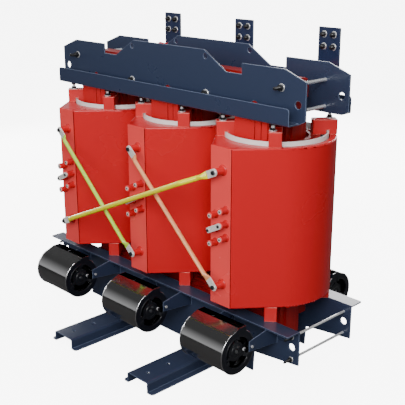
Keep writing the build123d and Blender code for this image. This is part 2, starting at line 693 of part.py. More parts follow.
def lv_terminal_bolts():
    bolts = []
    back = LV_PALM_Y + LV_BAR_WALL
    for phase in PHASES:
        for x, z in lv_bolt_places(phase):
            bolt = rod_y(x, z, LV_BOLT, LV_PALM_Y - 3.5 * LV_BOLT, back + 2.5 * LV_BOLT)
            for face, out in ((LV_PALM_Y, -1), (back, 1)):
                y0, y1 = sorted((face, face + out * LV_BOLT / 3))
                bolt += rod_y(x, z, 2.1 * LV_BOLT, y0, y1)
                y0, y1 = sorted((face + out * LV_BOLT / 3, face + out * 1.8 * LV_BOLT))
                bolt += hex_y(x, z, 1.7 * LV_BOLT, y0, y1)
            bolts.append(bolt)
    return solids(bolts)


def lv_post_insulators():
    """Ribbed resin posts from the rear clamp to the low-voltage bars, each with its stud."""
    posts = []
    z = UPPER_FOOT + POST_HEIGHT
    length = LV_PALM_Y - UPPER_OUT_Y
    back = LV_PALM_Y + LV_BAR_WALL
    for phase in PHASES:
        x = COIL_X[phase] + LV_PALM_X
        post = rod_y(x, z, POST_RADIUS, UPPER_OUT_Y, LV_PALM_Y)
        for share in (0.35, 0.55, 0.75):
            middle = Pos(x, UPPER_OUT_Y + share * length, z) * Rot(-90, 0, 0)
            post += middle * Cone(SHED_RADIUS, POST_RADIUS, POST_RADIUS)
        post += rod_y(x, z, LV_BOLT, LV_PALM_Y, back + 2 * LV_BOLT)
        post += hex_y(x, z, 1.7 * LV_BOLT, back, back + 1.4 * LV_BOLT)
        posts.append(post)
    return solids(posts)


# ---------------------------------------------------------------- fans
def scroll_wall(radius):
    """Section of the fan casing: round drum with a raised outlet mouth, seen along the shaft."""
    start, end = math.radians(MOUTH_START), math.radians(MOUTH_END)
    rear = (radius * math.cos(start), radius * math.sin(start))
    front = (radius * math.cos(end), radius * math.sin(end))
    lip = (front[0] + MOUTH_LIP * math.sin(end), front[1] - MOUTH_LIP * math.cos(end))
    drum = ThreePointArc(front, (-radius * math.sin(start), -radius * math.cos(start)), rear)
    return drum, front, rear, lip


def casing_face(radius):
    """Filled outline of the casing, drum and mouth together."""
    drum, front, rear, lip = scroll_wall(radius)
    mouth = Polyline(rear, (rear[0], lip[1]), lip, front)
    return make_face(drum.edges() + mouth.edges())


def fan_housing(x, side, z):
    """Folded drum casing, open at the outlet mouth and at the inlet end."""
    half = FAN_LENGTH / 2
    body = extrude(Plane.YZ.offset(-half) * casing_face(FAN_RADIUS), FAN_LENGTH)
    inner = Plane.YZ.offset(-half + FAN_WALL) * casing_face(FAN_RADIUS - FAN_WALL)
    body -= extrude(inner, FAN_LENGTH - 2 * FAN_WALL)
    _, front, rear, lip = scroll_wall(FAN_RADIUS - FAN_WALL)
    body -= block(-half + FAN_WALL, half - FAN_WALL, lip[0], rear[0], rear[1], FAN_RADIUS * 2)
    body += rod_x(0, 0, 2.2 * SHAFT_RADIUS, -half, -half + WHEEL_INSET - 2)
    body -= rod_x(0, 0, SHAFT_RADIUS + FIT, -half + FAN_WALL, -half + WHEEL_INSET)
    body += rod_x(0, 0, INLET_RADIUS + FAN_WALL, half - INLET_DEPTH, half)
    body -= rod_x(0, 0, INLET_RADIUS, half - INLET_DEPTH - 1, half + 1)
    offset = FAN_Y - fan_bolt_y()
    for end in (-1, 1):
        body -= rod_x(offset, 0, FAN_BOLT + FIT, end * half - FAN_WALL - 1, end * half + FAN_WALL + 1)
    return place_fan(body, x, side, z)


def place_fan(body, x, side, z):
    """Put a fan piece, drawn round the shaft with its rear towards +Y, on its side of the unit."""
    if side > 0:
        body = mirror_y(body)
    return Pos(x, side * FAN_Y, z) * body


def fan_impeller(x, side, z):
    """Squirrel-cage wheel on its shaft: back disc, forward-leaning blades and front ring."""
    half = FAN_LENGTH / 2
    x0 = -half + WHEEL_INSET
    x1 = x0 + WHEEL_LENGTH
    shaft_end = half - SPIDER_RECESS + 4
    body = rod_x(0, 0, SHAFT_RADIUS, -half + FAN_WALL + 1, shaft_end)
    body += rod_x(0, 0, WHEEL_RADIUS, x0, x0 + 2 * BLADE_WALL)
    body += rod_x(0, 0, 2.2 * SHAFT_RADIUS, x0, x0 + 3 * SHAFT_RADIUS)
    ring = rod_x(0, 0, WHEEL_RADIUS, x1 - 2 * BLADE_WALL, x1)
    body += ring - rod_x(0, 0, WHEEL_RADIUS - BLADE_DEPTH, x0, x1 + 1)
    blade = Rectangle(BLADE_DEPTH, BLADE_WALL)
    for k in range(BLADES):
        at = Rot(0, 0, k * 360 / BLADES) * Pos(WHEEL_RADIUS - BLADE_DEPTH / 2, 0) * Rot(0, 0, BLADE_ANGLE)
        body += extrude(Plane.YZ.offset(x0 + BLADE_WALL) * at * blade, WHEEL_LENGTH - 2 * BLADE_WALL)
    return place_fan(body, x, side, z)


def fan_motor(x, side, z):
    """Motor in the inlet, hung on a three-armed spider bolted to the end plate."""
    half = FAN_LENGTH / 2
    hub = half - SPIDER_RECESS
    body = rod_x(0, 0, MOTOR_RADIUS, hub - MOTOR_LENGTH, hub)
    body += extrude(Plane.YZ.offset(hub - SPIDER_WALL) * Circle(MOTOR_RADIUS * 1.1), SPIDER_WALL)
    tab_end = INLET_RADIUS + 3 * FAN_BOLT
    arm = SPIDER_ARM / 2
    root = INLET_RADIUS - FAN_WALL - SPIDER_WALL
    for angle in (90, 210, 330):
        turn = Rot(angle - 90, 0, 0)
        body += turn * block(hub - SPIDER_WALL, hub, -arm, arm, MOTOR_RADIUS / 2, root + SPIDER_WALL)
        body += turn * block(hub - SPIDER_WALL, half + SPIDER_WALL / 2, -arm, arm,
                             root, root + SPIDER_WALL)
        body += turn * block(half, half + SPIDER_WALL / 2, -arm, arm, root, tab_end)
    body += rod_x(GLAND_Y, SHAFT_RADIUS, GLAND_RADIUS, hub, hub + GLAND_LENGTH)
    body -= rod_x(0, 0, SHAFT_RADIUS + FIT, hub - MOTOR_LENGTH - 1, hub + 1)
    return place_fan(body, x, side, z)


def fan_bolts():
    """Bolts through bracket and end plate, one at each end of each fan."""
    bolts = []
    for _, x, side, z in fan_places():
        for end in (-1, 1):
            y = side * fan_bolt_y()
            outer = end * (FAN_LENGTH / 2 + BRACKET_WALL)
            inner = end * (FAN_LENGTH / 2 - FAN_WALL)
            x0, x1 = sorted((inner - end * FAN_BOLT * 1.6, outer + end * FAN_BOLT * 1.5))
            bolt = rod_x(y, z, FAN_BOLT, x + x0, x + x1)
            x0, x1 = sorted((outer, outer + end * FAN_BOLT * 1.5))
            bolt += Pos(x + x0, y, z) * extrude(Plane.YZ * RegularPolygon(1.7 * FAN_BOLT, 6), x1 - x0)
            x0, x1 = sorted((inner, inner - end * FAN_BOLT * 1.5))
            bolt += Pos(x + x0, y, z) * extrude(Plane.YZ * RegularPolygon(1.7 * FAN_BOLT, 6), x1 - x0)
            bolts.append(bolt)
    return solids(bolts)


# ---------------------------------------------------------------- write every node
save("core_frame", core_frame())
save("upper_yoke", upper_yoke())
save("upper_yoke_pads", yoke_pads(UPPER_FACE_Y, UPPER_YOKE_Z, UPPER_FOOT + YOKE_BOLT_HEIGHT))
save("lower_yoke_pads", yoke_pads(LOWER_WEB_Y, LOWER_YOKE_Z))
for name, side in (("front", -1), ("back", 1)):
    save(f"upper_clamp_{name}", upper_clamp(side))
    save(f"lower_clamp_{name}", lower_clamp(side))
save("base_channel_left", base_channel(-FOOT_X))
save("base_channel_right", base_channel(FOOT_X))
for phase in PHASES:
    save(f"hv_coil_{phase}", hv_coil(phase))
    save(f"lv_coil_{phase}", lv_coil(phase))
    save(f"barrier_cylinder_{phase}", barrier_cylinder(phase))
    save(f"top_spacers_{phase}", spacers(phase, COIL_TOP, SPACER_TOP, True))
    save(f"bottom_spacers_{phase}", spacers(phase, CLAMP_TOP, COIL_FOOT, False))
    save(f"lv_terminal_{phase}", lv_terminal(phase))
save("press_bolts", press_bolts())
save("yoke_bolts", yoke_bolts())
save("upper_tie_rods", upper_tie_rods())
save("lower_tie_rods", lower_tie_rods())
save("hv_terminal_bolts", hv_terminal_bolts())
save("tap_inserts", tap_inserts())
save("tap_links", tap_links())
save("tap_bolts", tap_bolts())
for name, bar in delta_bars().items():
    save(name, bar)
save("lv_terminal_bolts", lv_terminal_bolts())
save("lv_post_insulators", lv_post_insulators())
for name, x, side, z in fan_places():
    save(f"fan_housing_{name}", fan_housing(x, side, z))
    save(f"fan_impeller_{name}", fan_impeller(x, side, z))
    save(f"fan_motor_{name}", fan_motor(x, side, z))
save("fan_bolts", fan_bolts())
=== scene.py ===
"""Surfaces, finishes and fine detail of a cast-resin transformer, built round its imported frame.

Everything is in metres, in the frame's own axes: +X along the row of coils, -Y towards the
high-voltage face and +Z up.
"""
import logging
import math
from dataclasses import dataclass, replace
from enum import Enum, IntEnum
from typing import Callable, Iterable, Sequence

import bmesh
import bpy
from mathutils import Matrix, Vector


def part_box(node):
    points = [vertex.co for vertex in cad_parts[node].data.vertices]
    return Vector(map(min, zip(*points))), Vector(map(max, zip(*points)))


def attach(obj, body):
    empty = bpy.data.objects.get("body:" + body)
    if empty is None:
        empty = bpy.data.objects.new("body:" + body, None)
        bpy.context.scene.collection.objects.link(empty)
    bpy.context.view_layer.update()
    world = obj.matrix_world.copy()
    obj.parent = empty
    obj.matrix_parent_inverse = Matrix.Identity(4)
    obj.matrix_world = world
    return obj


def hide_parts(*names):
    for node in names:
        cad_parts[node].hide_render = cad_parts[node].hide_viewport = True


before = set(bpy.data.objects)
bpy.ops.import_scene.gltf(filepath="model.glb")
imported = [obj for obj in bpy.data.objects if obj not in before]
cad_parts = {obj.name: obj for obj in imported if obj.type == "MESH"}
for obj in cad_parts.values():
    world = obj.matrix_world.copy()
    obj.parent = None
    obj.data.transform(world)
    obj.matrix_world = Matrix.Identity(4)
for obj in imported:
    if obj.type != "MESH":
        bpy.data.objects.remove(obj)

LOG = logging.getLogger("transformer")

Colour = tuple[float, float, float]
Corners = tuple[Vector, Vector]
Profile = Sequence[tuple[float, float]]

PHASES = ("a", "b", "c")
ENDS = ("left", "right")
SIDES = {"front": -1.0, "back": 1.0}    # each with the sign of Y there

WELD_GAP = 1e-5                         # corners closer than this are one corner
FLAT_ANGLE = math.radians(0.6)          # facets that turn less than this are one face
CORNER_ANGLE = math.radians(33)         # edges that turn more than this are rounded over
SHARP_ANGLE = math.radians(42)          # edges that turn more than this stay sharp in the shading
SIDEWAYS = 0.9                          # a face looks sideways if its normal has more along X

UPPER_FACE = 0.150                      # outer faces of the upper clamps, from the unit's middle
LOWER_FACE = 0.192                      # outer faces of the lower clamps, from the unit's middle
TROUGH_FOOT = 1.245                     # underside of the trough's floor
TROUGH_FLOOR = 1.251                    # upper side of the trough's floor
PALM_FRONT = 0.475                      # front face of the low-voltage palms
PALM_BACK = 0.485                       # back face of the low-voltage palms
TAP_REACH = 0.0275                      # how far the tap bosses are drawn out beyond the solids
THREAD_PITCH = 0.0022
SECOND = 1                              # number of the second finish in a piece's list


# ---------------------------------------------------------------- shader groups
class Graph:
    """Short way to place shader nodes in one tree and join them."""

    def __init__(self, tree: bpy.types.NodeTree) -> None:
        """Work on one tree.

        Args:
            tree: The node tree that the nodes go into.
        """
        self.tree = tree

    def add(self, kind: str, values: dict[str | int, object] | None = None,
            **settings: object) -> bpy.types.Node:
        """Place a node.

        Args:
            kind: The node's type name.
            values: Socket name or number, with a value or the socket that feeds it.
            **settings: Settings of the node itself.

        Returns:
            The new node.
        """
        node = self.tree.nodes.new(kind)
        for key, value in settings.items():
            setattr(node, key, value)
        for socket, value in (values or {}).items():
            if isinstance(value, bpy.types.NodeSocket):
                self.tree.links.new(value, node.inputs[socket])
            else:
                node.inputs[socket].default_value = value
        return node

    def math(self, operation: str, first: object, second: object = 0.0) -> bpy.types.NodeSocket:
        """Place a Math node and return its result."""
        values = {0: first, 1: second}
        return self.add("ShaderNodeMath", values, operation=operation).outputs[0]

    def ramp(self, value: object, low: float, high: float, to_low: object = 0.0,
             to_high: object = 1.0) -> bpy.types.NodeSocket:
        """Map one range on another, held at both ends.

        Args:
            value: The socket to map.
            low: Value that gives to_low.
            high: Value that gives to_high.
            to_low: Result at the low end.
            to_high: Result at the high end.

        Returns:
            The mapped value.
        """
        values = {0: value, 1: low, 2: high, 3: to_low, 4: to_high}
        return self.add("ShaderNodeMapRange", values).outputs[0]

    def mix(self, factor: object, first: object, second: object) -> bpy.types.NodeSocket:
        """Mix two colours.

        Args:
            factor: Share of the second colour.
            first: Colour, or the socket that gives it.
            second: Colour, or the socket that gives it.

        Returns:
            The mixed colour.
        """
        colours = [c if isinstance(c, bpy.types.NodeSocket) else (*c, 1.0) for c in (first, second)]
        values = {0: factor, 6: colours[0], 7: colours[1]}
        return self.add("ShaderNodeMix", values, data_type="RGBA").outputs[2]

    def place(self) -> bpy.types.NodeSocket:
        """Return the piece's own coordinates."""
        return self.add("ShaderNodeTexCoord").outputs["Object"]

    def bump(self, height: object, relief: object) -> bpy.types.NodeSocket:
        """Place a Bump node and return its normal."""
        return self.add("ShaderNodeBump", {"Height": height, "Distance": relief}).outputs[0]

    def noise(self, scale: object, detail: float, where: object = None) -> bpy.types.NodeSocket:
        """Noise over the piece's own coordinates.

        Args:
            scale: Cells to the metre.
            detail: Octaves.
            where: Coordinates to use in place of the piece's own.

        Returns:
            The noise, from 0 to 1.
        """
        values = {"Vector": where or self.place(), "Scale": scale, "Detail": detail}
        return self.add("ShaderNodeTexNoise", values).outputs[0]


class Effect(Enum):
    """Surface effects that several finishes share, each a node group."""

    PEEL = "paint_peel"
    SHEETS = "sheet_edges"
    GRAIN = "drawn_grain"
    DUST = "settled_dust"

    def group(self) -> bpy.types.NodeTree:
        """Make the effect's node group the first time it is asked for.

        Returns:
            The node group.
        """
        found = bpy.data.node_groups.get(self.value)
        if found:
            return found
        inputs, outputs, wire = EFFECT_WIRING[self]
        tree = bpy.data.node_groups.new(self.value, "ShaderNodeTree")
        for name, value in inputs.items():
            socket = tree.interface.new_socket(name, in_out="INPUT", socket_type="NodeSocketFloat")
            socket.default_value = value
        for name in outputs:
            kind = "NodeSocketVector" if name == "Normal" else "NodeSocketFloat"
            tree.interface.new_socket(name, in_out="OUTPUT", socket_type=kind)
        graph = Graph(tree)
        entry = graph.add("NodeGroupInput")
        results = wire(graph, entry.outputs)
        graph.add("NodeGroupOutput", dict(zip(outputs, results)))
        return tree


def wire_peel(graph: Graph, given: bpy.types.NodeOutputs) -> list[bpy.types.NodeSocket]:
    """Orange peel of sprayed paint or cast resin, with broad patches of tone.

    Args:
        graph: The group's graph.
        given: The group's inputs, Scale and Relief.

    Returns:
        Mask and Normal.
    """
    patch_share = 0.012            # scale of the patches against that of the peel
    height = graph.noise(given["Scale"], detail=3.0)
    normal = graph.bump(height, given["Relief"])
    broad = graph.noise(graph.math("MULTIPLY", given["Scale"], patch_share), detail=4.0)
    return [graph.ramp(broad, low=0.2, high=0.8), normal]


def wire_sheets(graph: Graph, given: bpy.types.NodeOutputs) -> list[bpy.types.NodeSocket]:
    """Edges of stacked sheets: fine grooves across Y, each sheet a little off in tone.

    Args:
        graph: The group's graph.
        given: The group's inputs, Scale in sheets to the metre and Relief.

    Returns:
        Mask and Normal.
    """
    half_sheet, groove_start = 0.5, 0.34       # from the middle of a sheet, in sheets
    stagger = 0.5                              # how far sheets stand out, in groove depths
    tone_share = 0.6                           # tone of the palest sheet against that of a groove
    across = graph.add("ShaderNodeSeparateXYZ", {0: graph.place()}).outputs["Y"]
    count = graph.math("MULTIPLY", across, given["Scale"])
    tone = graph.add("ShaderNodeTexWhiteNoise", {"W": graph.math("FLOOR", count)},
                     noise_dimensions="1D").outputs["Value"]
    off = graph.math("ABSOLUTE", graph.math("SUBTRACT", graph.math("FRACT", count), half_sheet))
    groove = graph.ramp(off, groove_start, half_sheet)
    height = graph.math("SUBTRACT", graph.math("MULTIPLY", tone, stagger), groove)
    normal = graph.bump(height, given["Relief"])
    mask = graph.math("MAXIMUM", groove, graph.math("MULTIPLY", tone, tone_share))
    return [mask, normal]


def wire_grain(graph: Graph, given: bpy.types.NodeOutputs) -> list[bpy.types.NodeSocket]:
    """Fine drawn grain of rolled or plated metal.

    Args:
        graph: The group's graph.
        given: The group's inputs, Scale and Relief.

    Returns:
        Mask and Normal.
    """
    draw = (1.0, 0.12, 0.5)        # scale along each axis: the grain is longest along Y
    drawn = graph.add("ShaderNodeMapping", {"Vector": graph.place(), "Scale": draw}).outputs[0]
    height = graph.noise(given["Scale"], detail=4.0, where=drawn)
    normal = graph.bump(height, given["Relief"])
    return [graph.ramp(height, low=0.35, high=0.65), normal]


def wire_dust(graph: Graph, given: bpy.types.NodeOutputs) -> list[bpy.types.NodeSocket]:
    """A thin uneven film on what faces up.

    Args:
        graph: The group's graph.
        given: The group's input, Amount.

    Returns:
        Mask.
    """
    patches_to_metre = 9.0
    normal = graph.add("ShaderNodeNewGeometry").outputs["Normal"]
    rise = graph.add("ShaderNodeSeparateXYZ", {0: normal}).outputs["Z"]
    up = graph.ramp(rise, low=0.55, high=0.95)
    patches = graph.ramp(graph.noise(patches_to_metre, detail=5.0), low=0.32, high=0.7)
    return [graph.math("MULTIPLY", graph.math("MULTIPLY", up, patches), given["Amount"])]


EFFECT_WIRING: dict[Effect, tuple[dict[str, float], tuple[str, ...], Callable]] = {
    Effect.PEEL: ({"Scale": 600.0, "Relief": 2e-5}, ("Mask", "Normal"), wire_peel),
    Effect.SHEETS: ({"Scale": 200.0, "Relief": 2e-4}, ("Mask", "Normal"), wire_sheets),
    Effect.GRAIN: ({"Scale": 900.0, "Relief": 2e-5}, ("Mask", "Normal"), wire_grain),
    Effect.DUST: ({"Amount": 0.1}, ("Mask",), wire_dust),
}


# ---------------------------------------------------------------- finishes
DUST_COLOUR: Colour = (0.46, 0.45, 0.43)
DUST_ROUGHNESS = 0.5           # what a full film adds to the roughness


@dataclass(frozen=True)
class Finish:
    """One surface finish, as a procedural material."""

    name: str
    slot: str
    colour: Colour
    roughness: float
    wander: float = 0.05           # how far the roughness goes either way
    mottle: float = 0.10           # share of the colour lost in the darker patches
    metallic: float = 0.0
    coat: float = 0.0
    coat_roughness: float = 0.08
    ior: float = 1.5
    skin: Effect = Effect.PEEL
    scale: float = 600.0           # what the skin repeats by, to the metre
    relief: float = 2e-5
    edge_highlight_colour: Colour | None = None      # lighter colour painted on rounded corners as a highlight
    dust: float = 0.0

    def material(self) -> bpy.types.Material:
        """Make the finish's material the first time it is asked for.

        Returns:
            The material.
        """
        found = bpy.data.materials.get(self.name)
        if found:
            return found
        made = bpy.data.materials.new(self.name)
        made.use_nodes = True
        made.node_tree.nodes.clear()
        graph = Graph(made.node_tree)
        skin = graph.add("ShaderNodeGroup", {"Scale": self.scale, "Relief": self.relief},
                         node_tree=self.skin.group())
        mask = skin.outputs["Mask"]
        darker = tuple(c * (1.0 - self.mottle) for c in self.colour)
        colour = graph.mix(mask, self.colour, darker)
        rough = graph.ramp(mask, 0.0, 1.0, self.roughness - self.wander, self.roughness + self.wander)
        if self.dust:
            film = graph.add("ShaderNodeGroup", {"Amount": self.dust},
                             node_tree=Effect.DUST.group()).outputs["Mask"]
            colour = graph.mix(film, colour, DUST_COLOUR)
            rough = graph.math("ADD", rough, graph.math("MULTIPLY", film, DUST_ROUGHNESS))
        shader = graph.add("ShaderNodeBsdfPrincipled", {
            "Base Color": colour, "Roughness": rough, "Normal": skin.outputs["Normal"],
            "Metallic": self.metallic, "IOR": self.ior, "Coat Weight": self.coat,
            "Coat Roughness": self.coat_roughness})
        graph.add("ShaderNodeOutputMaterial", {"Surface": shader.outputs[0]})
        return made

    def rim(self) -> "Finish":
        """Return the same finish in the lighter colour that is painted on rounded corners as a
        highlight.
        """
        return replace(self, name=f"{self.name}_rim", colour=self.edge_highlight_colour, edge_highlight_colour=None)


# edge_highlight_colour below is a lighter colour painted on rounded corners as a highlight
CAST_EPOXY = Finish("cast_epoxy", "coil_resin", (0.57, 0.011, 0.015), 0.27, wander=0.01, ior=1.45,
                    scale=260.0, relief=4e-5, mottle=0.02, edge_highlight_colour=(0.88, 0.11, 0.10))
# lighter copy of the resin for the terminal panel: painted sheen
SHEEN_PANEL_RESIN = replace(CAST_EPOXY, name="panel_painted_sheen", colour=(0.80, 0.062, 0.060))
# dark red for the panel's sides and the guard boards' corners: painted shadow and shade
SHADE_RED_RESIN = replace(CAST_EPOXY, name="painted_shade_red", colour=(0.13, 0.002, 0.003))
FOIL_RESIN = Finish("foil_resin", "lv_resin", (0.30, 0.008, 0.007), 0.38, scale=300.0,
                    relief=8e-5, mottle=0.18)
CORE_ENAMEL = Finish("core_enamel", "core_paint", (0.34, 0.008, 0.007), 0.36, skin=Effect.SHEETS,
                     scale=170.0, relief=4e-4, mottle=0.45, dust=0.03)
SLATE_COAT = Finish("slate_coat", "clamp_paint", (0.026, 0.037, 0.074), 0.28, wander=0.01,
                    scale=750.0, mottle=0.02, edge_highlight_colour=(0.12, 0.15, 0.23), dust=0.015)
PRESSBOARD = Finish("pressboard", "pad_board", (0.36, 0.010, 0.008), 0.55, scale=420.0,
                    relief=9e-5, mottle=0.16)
BARRIER_LAMINATE = Finish("barrier_laminate", "barrier_board", (0.80, 0.80, 0.78), 0.42,
                          scale=500.0, relief=3e-5, mottle=0.06)
BLOCK_RESIN = Finish("block_resin", "spacer_resin", (0.58, 0.014, 0.016), 0.36, scale=350.0,
                     relief=4e-5, mottle=0.04, edge_highlight_colour=(0.88, 0.20, 0.17))
ZINC_PLATE = Finish("zinc_plate", "zinc_steel", (0.86, 0.87, 0.88), 0.28, metallic=0.6,
                    skin=Effect.GRAIN, scale=1400.0, relief=1.5e-5, mottle=0.16)
BLACK_OXIDE = Finish("black_oxide", "black_steel", (0.010, 0.010, 0.012), 0.34,
                     skin=Effect.GRAIN, scale=1200.0, relief=1.5e-5, mottle=0.2)
TINNED_COPPER = Finish("tinned_copper", "terminal_metal", (0.92, 0.90, 0.84), 0.28, metallic=0.4,
                       skin=Effect.GRAIN, scale=1100.0, relief=1.5e-5, mottle=0.10)
GREEN_SLEEVE = Finish("green_sleeve", "bar_green", (0.50, 0.80, 0.06), 0.22, coat=0.8,
                      scale=500.0, mottle=0.08)
ORANGE_SLEEVE = replace(GREEN_SLEEVE, name="orange_sleeve", slot="bar_orange",
                        colour=(0.90, 0.36, 0.15), mottle=0.12)
YELLOW_SLEEVE = replace(GREEN_SLEEVE, name="yellow_sleeve", slot="bar_yellow",
                        colour=(0.82, 0.76, 0.004), mottle=0.07)
BAR_ENAMEL = Finish("bar_enamel", "bar_paint", (0.015, 0.024, 0.065), 0.28, scale=700.0,
                    relief=2.5e-5, mottle=0.08, edge_highlight_colour=(0.10, 0.13, 0.20))
DRUM_ENAMEL = Finish("drum_enamel", "fan_black", (0.34, 0.34, 0.345), 0.11, wander=0.01,
                     metallic=1.0, scale=900.0, relief=3e-6, mottle=0.05,
                     edge_highlight_colour=(0.75, 0.75, 0.76))
END_ENAMEL = Finish("end_enamel", "fan_black", (0.004, 0.005, 0.009), 0.42, scale=900.0,
                    relief=1.5e-5, mottle=0.15)
WHEEL_ALLOY = Finish("wheel_alloy", "wheel_metal", (0.42, 0.43, 0.45), 0.34, metallic=1.0,
                     skin=Effect.GRAIN, scale=1000.0, mottle=0.15)
MOTOR_ENAMEL = Finish("motor_enamel", "motor_paint", (0.007, 0.008, 0.011), 0.38,
                      scale=800.0, relief=3e-5, mottle=0.15)


# ---------------------------------------------------------------- mesh making
class Heading(Enum):
    """Way that a turned piece's own +Z points."""

    RIGHT = (1.0, 0.0, 0.0)
    BACK = (0.0, 1.0, 0.0)
    FRONT = (0.0, -1.0, 0.0)
    UP = (0.0, 0.0, 1.0)
    DOWN = (0.0, 0.0, -1.0)

    def at(self, x: float, y: float, z: float) -> Matrix:
        """Return the place that puts a turned piece's foot at a point."""
        turn = Vector(self.value).to_track_quat("Z", "Y").to_matrix().to_4x4()
        return Matrix.Translation((x, y, z)) @ turn


class Form:
    """A mesh in the making, in the frame's coordinates."""

    def __init__(self) -> None:
        """Start with nothing."""
        self.bm = bmesh.new()

    def corner(self, place: Matrix, radius: float, turn: float, level: float) -> bmesh.types.BMVert:
        """Add a corner at a radius, an angle and a height of the place's own and return it."""
        spot = Vector((radius * math.cos(turn), radius * math.sin(turn), level))
        return self.bm.verts.new(place @ spot)

    @classmethod
    def of_node(cls, node: str) -> "Form":
        """Take a node's shape, with its split corners welded and its flat facets joined.

        Args:
            node: Name of the frame's node.

        Returns:
            The form, ready to be worked on.
        """
        form = cls()
        form.bm.from_mesh(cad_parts[node].data)
        bmesh.ops.remove_doubles(form.bm, verts=form.bm.verts[:], dist=WELD_GAP)
        bmesh.ops.dissolve_limit(form.bm, angle_limit=FLAT_ANGLE, verts=form.bm.verts[:],
                                 edges=form.bm.edges[:])
        return form

    def soften(self, width: float, segments: int = 2, material: int = -1) -> "Form":
        """Round every corner over.

        Args:
            width: How far the rounding reaches from the corner.
            segments: Facets across the rounding.
            material: Number of the finish on the rounding, or -1 to keep that of the faces.

        Returns:
            The same form.
        """
        corners = [e for e in self.bm.edges if e.is_manifold and e.calc_face_angle() > CORNER_ANGLE]
        bmesh.ops.bevel(self.bm, geom=corners, offset=width, offset_type="OFFSET",
                        segments=segments, profile=0.5, affect="EDGES", material=material,
                        clamp_overlap=False)
        return self

    def shift(self, chosen: Callable[[Vector], bool], moved: Callable[[Vector], Vector]) -> "Form":
        """Move the corners that a test picks.

        Args:
            chosen: Test of a corner's place.
            moved: New place of a picked corner.

        Returns:
            The same form.
        """
        for vert in self.bm.verts:
            if chosen(vert.co):
                vert.co = moved(vert.co)
        return self

    def block(self, low: Vector, high: Vector, material: int = 0) -> None:
        """Square-cornered block.

        Args:
            low: Its lowest corner.
            high: Its highest corner.
            material: Number of the finish that it takes.
        """
        made = bmesh.ops.create_cube(self.bm, size=1.0)["verts"]
        for vert in made:
            vert.co = Vector([low[k] if vert.co[k] < 0 else high[k] for k in range(3)])
        for face in {f for v in made for f in v.link_faces}:
            face.material_index = material
            face.normal_update()

    def lathe(self, place: Matrix, profile: Profile, steps: int = 32, material: int = 0) -> None:
        """Turn a profile about the place's own Z.

        Args:
            place: Where the profile's foot stands and which way it points.
            profile: Radius and height of each ring. A radius of 0 closes an end.
            steps: Facets round the axis.
            material: Number of the finish that it takes.
        """
        rings = []
        for radius, height in profile:
            count = steps if radius > WELD_GAP else 1
            turns = [2.0 * math.pi * k / steps for k in range(count)]
            rings.append([self.corner(place, radius, turn, height) for turn in turns])
        self.skin_rings(rings, steps, material)

    def skin_rings(self, rings: list[list[bmesh.types.BMVert]], steps: int, material: int) -> None:
        """Join neighbouring rings with faces.

        Args:
            rings: Rings of corners, or single corners at closed ends.
            steps: Corners in a full ring.
            material: Number of the finish that the faces take.
        """
        for low, high in zip(rings, rings[1:]):
            for k in range(steps):
                after = k + 1
                around = (low[k % len(low)], low[after % len(low)], high[after % len(high)],
                          high[k % len(high)])
                corners = list(dict.fromkeys(around))
                if len(corners) > 2:
                    self.bm.faces.new(corners).material_index = material

    def nut(self, place: Matrix, corner: float, height: float, material: int = 0) -> None:
        """Hexagon with both ends chamfered to a circle.

        Args:
            place: Foot of the hexagon and the way it points.
            corner: Distance of its corners from the axis.
            height: Its height.
            material: Number of the finish that it takes.
        """
        steps = 24
        side = math.pi / 3                     # angle that one side of the hexagon takes up
        flat = corner * math.cos(side / 2)
        face = 0.95 * flat                     # radius of the circle left at each end
        slope = math.tan(math.radians(28))
        rings = [[self.corner(place, 0.0, 0.0, 0.0)], [], [], [], []]
        for k in range(steps):
            turn = 2.0 * math.pi * k / steps
            reach = flat / math.cos((turn % side) - side / 2)
            fall = (reach - face) * slope
            spots = ((face, 0.0), (reach, fall), (reach, height - fall), (face, height))
            for ring, (radius, level) in zip(rings[1:], spots):
                ring.append(self.corner(place, radius, turn, level))
        rings.append([self.corner(place, 0.0, 0.0, height)])
        self.skin_rings(rings, steps, material)

    def washer(self, place: Matrix, radius: float, height: float, material: int = 0) -> None:
        """Flat ring with broken edges, filled at its middle where the stud passes.

        Args:
            place: Foot of the washer and the way it points.
            radius: Its outer radius.
            height: Its thickness.
            material: Number of the finish that it takes.
        """
        edge = height / 4
        profile = ((0.0, 0.0), (radius - edge, 0.0), (radius, edge), (radius, height - edge),
                   (radius - edge, height), (0.0, height))
        self.lathe(place, profile, material=material)

    def rod(self, place: Matrix, radius: float, length: float, steps: int = 20) -> None:
        """Plain round bar in the first finish."""
        self.lathe(place, ((0.0, 0.0), (radius, 0.0), (radius, length), (0.0, length)), steps)

    def thread(self, place: Matrix, radius: float, length: float, material: int = 0) -> None:
        """Threaded end of a stud, with ridges and a chamfered tip.

        Args:
            place: Where the thread starts and the way it points.
            radius: Outer radius of the ridges.
            length: Length of the thread.
            material: Number of the finish that it takes.
        """
        root = radius - 0.55 * THREAD_PITCH
        flank = 0.4 * THREAD_PITCH             # half the foot of a ridge
        tip = 0.8 * root
        profile = [(0.0, 0.0), (root, 0.0)]
        for k in range(max(1, int(length / THREAD_PITCH) - 1)):
            crest = (k + 0.5) * THREAD_PITCH
            profile += [(root, crest - flank), (radius, crest), (root, crest + flank)]
        profile += [(root, length - flank), (tip, length), (0.0, length)]
        self.lathe(place, profile, 20, material)

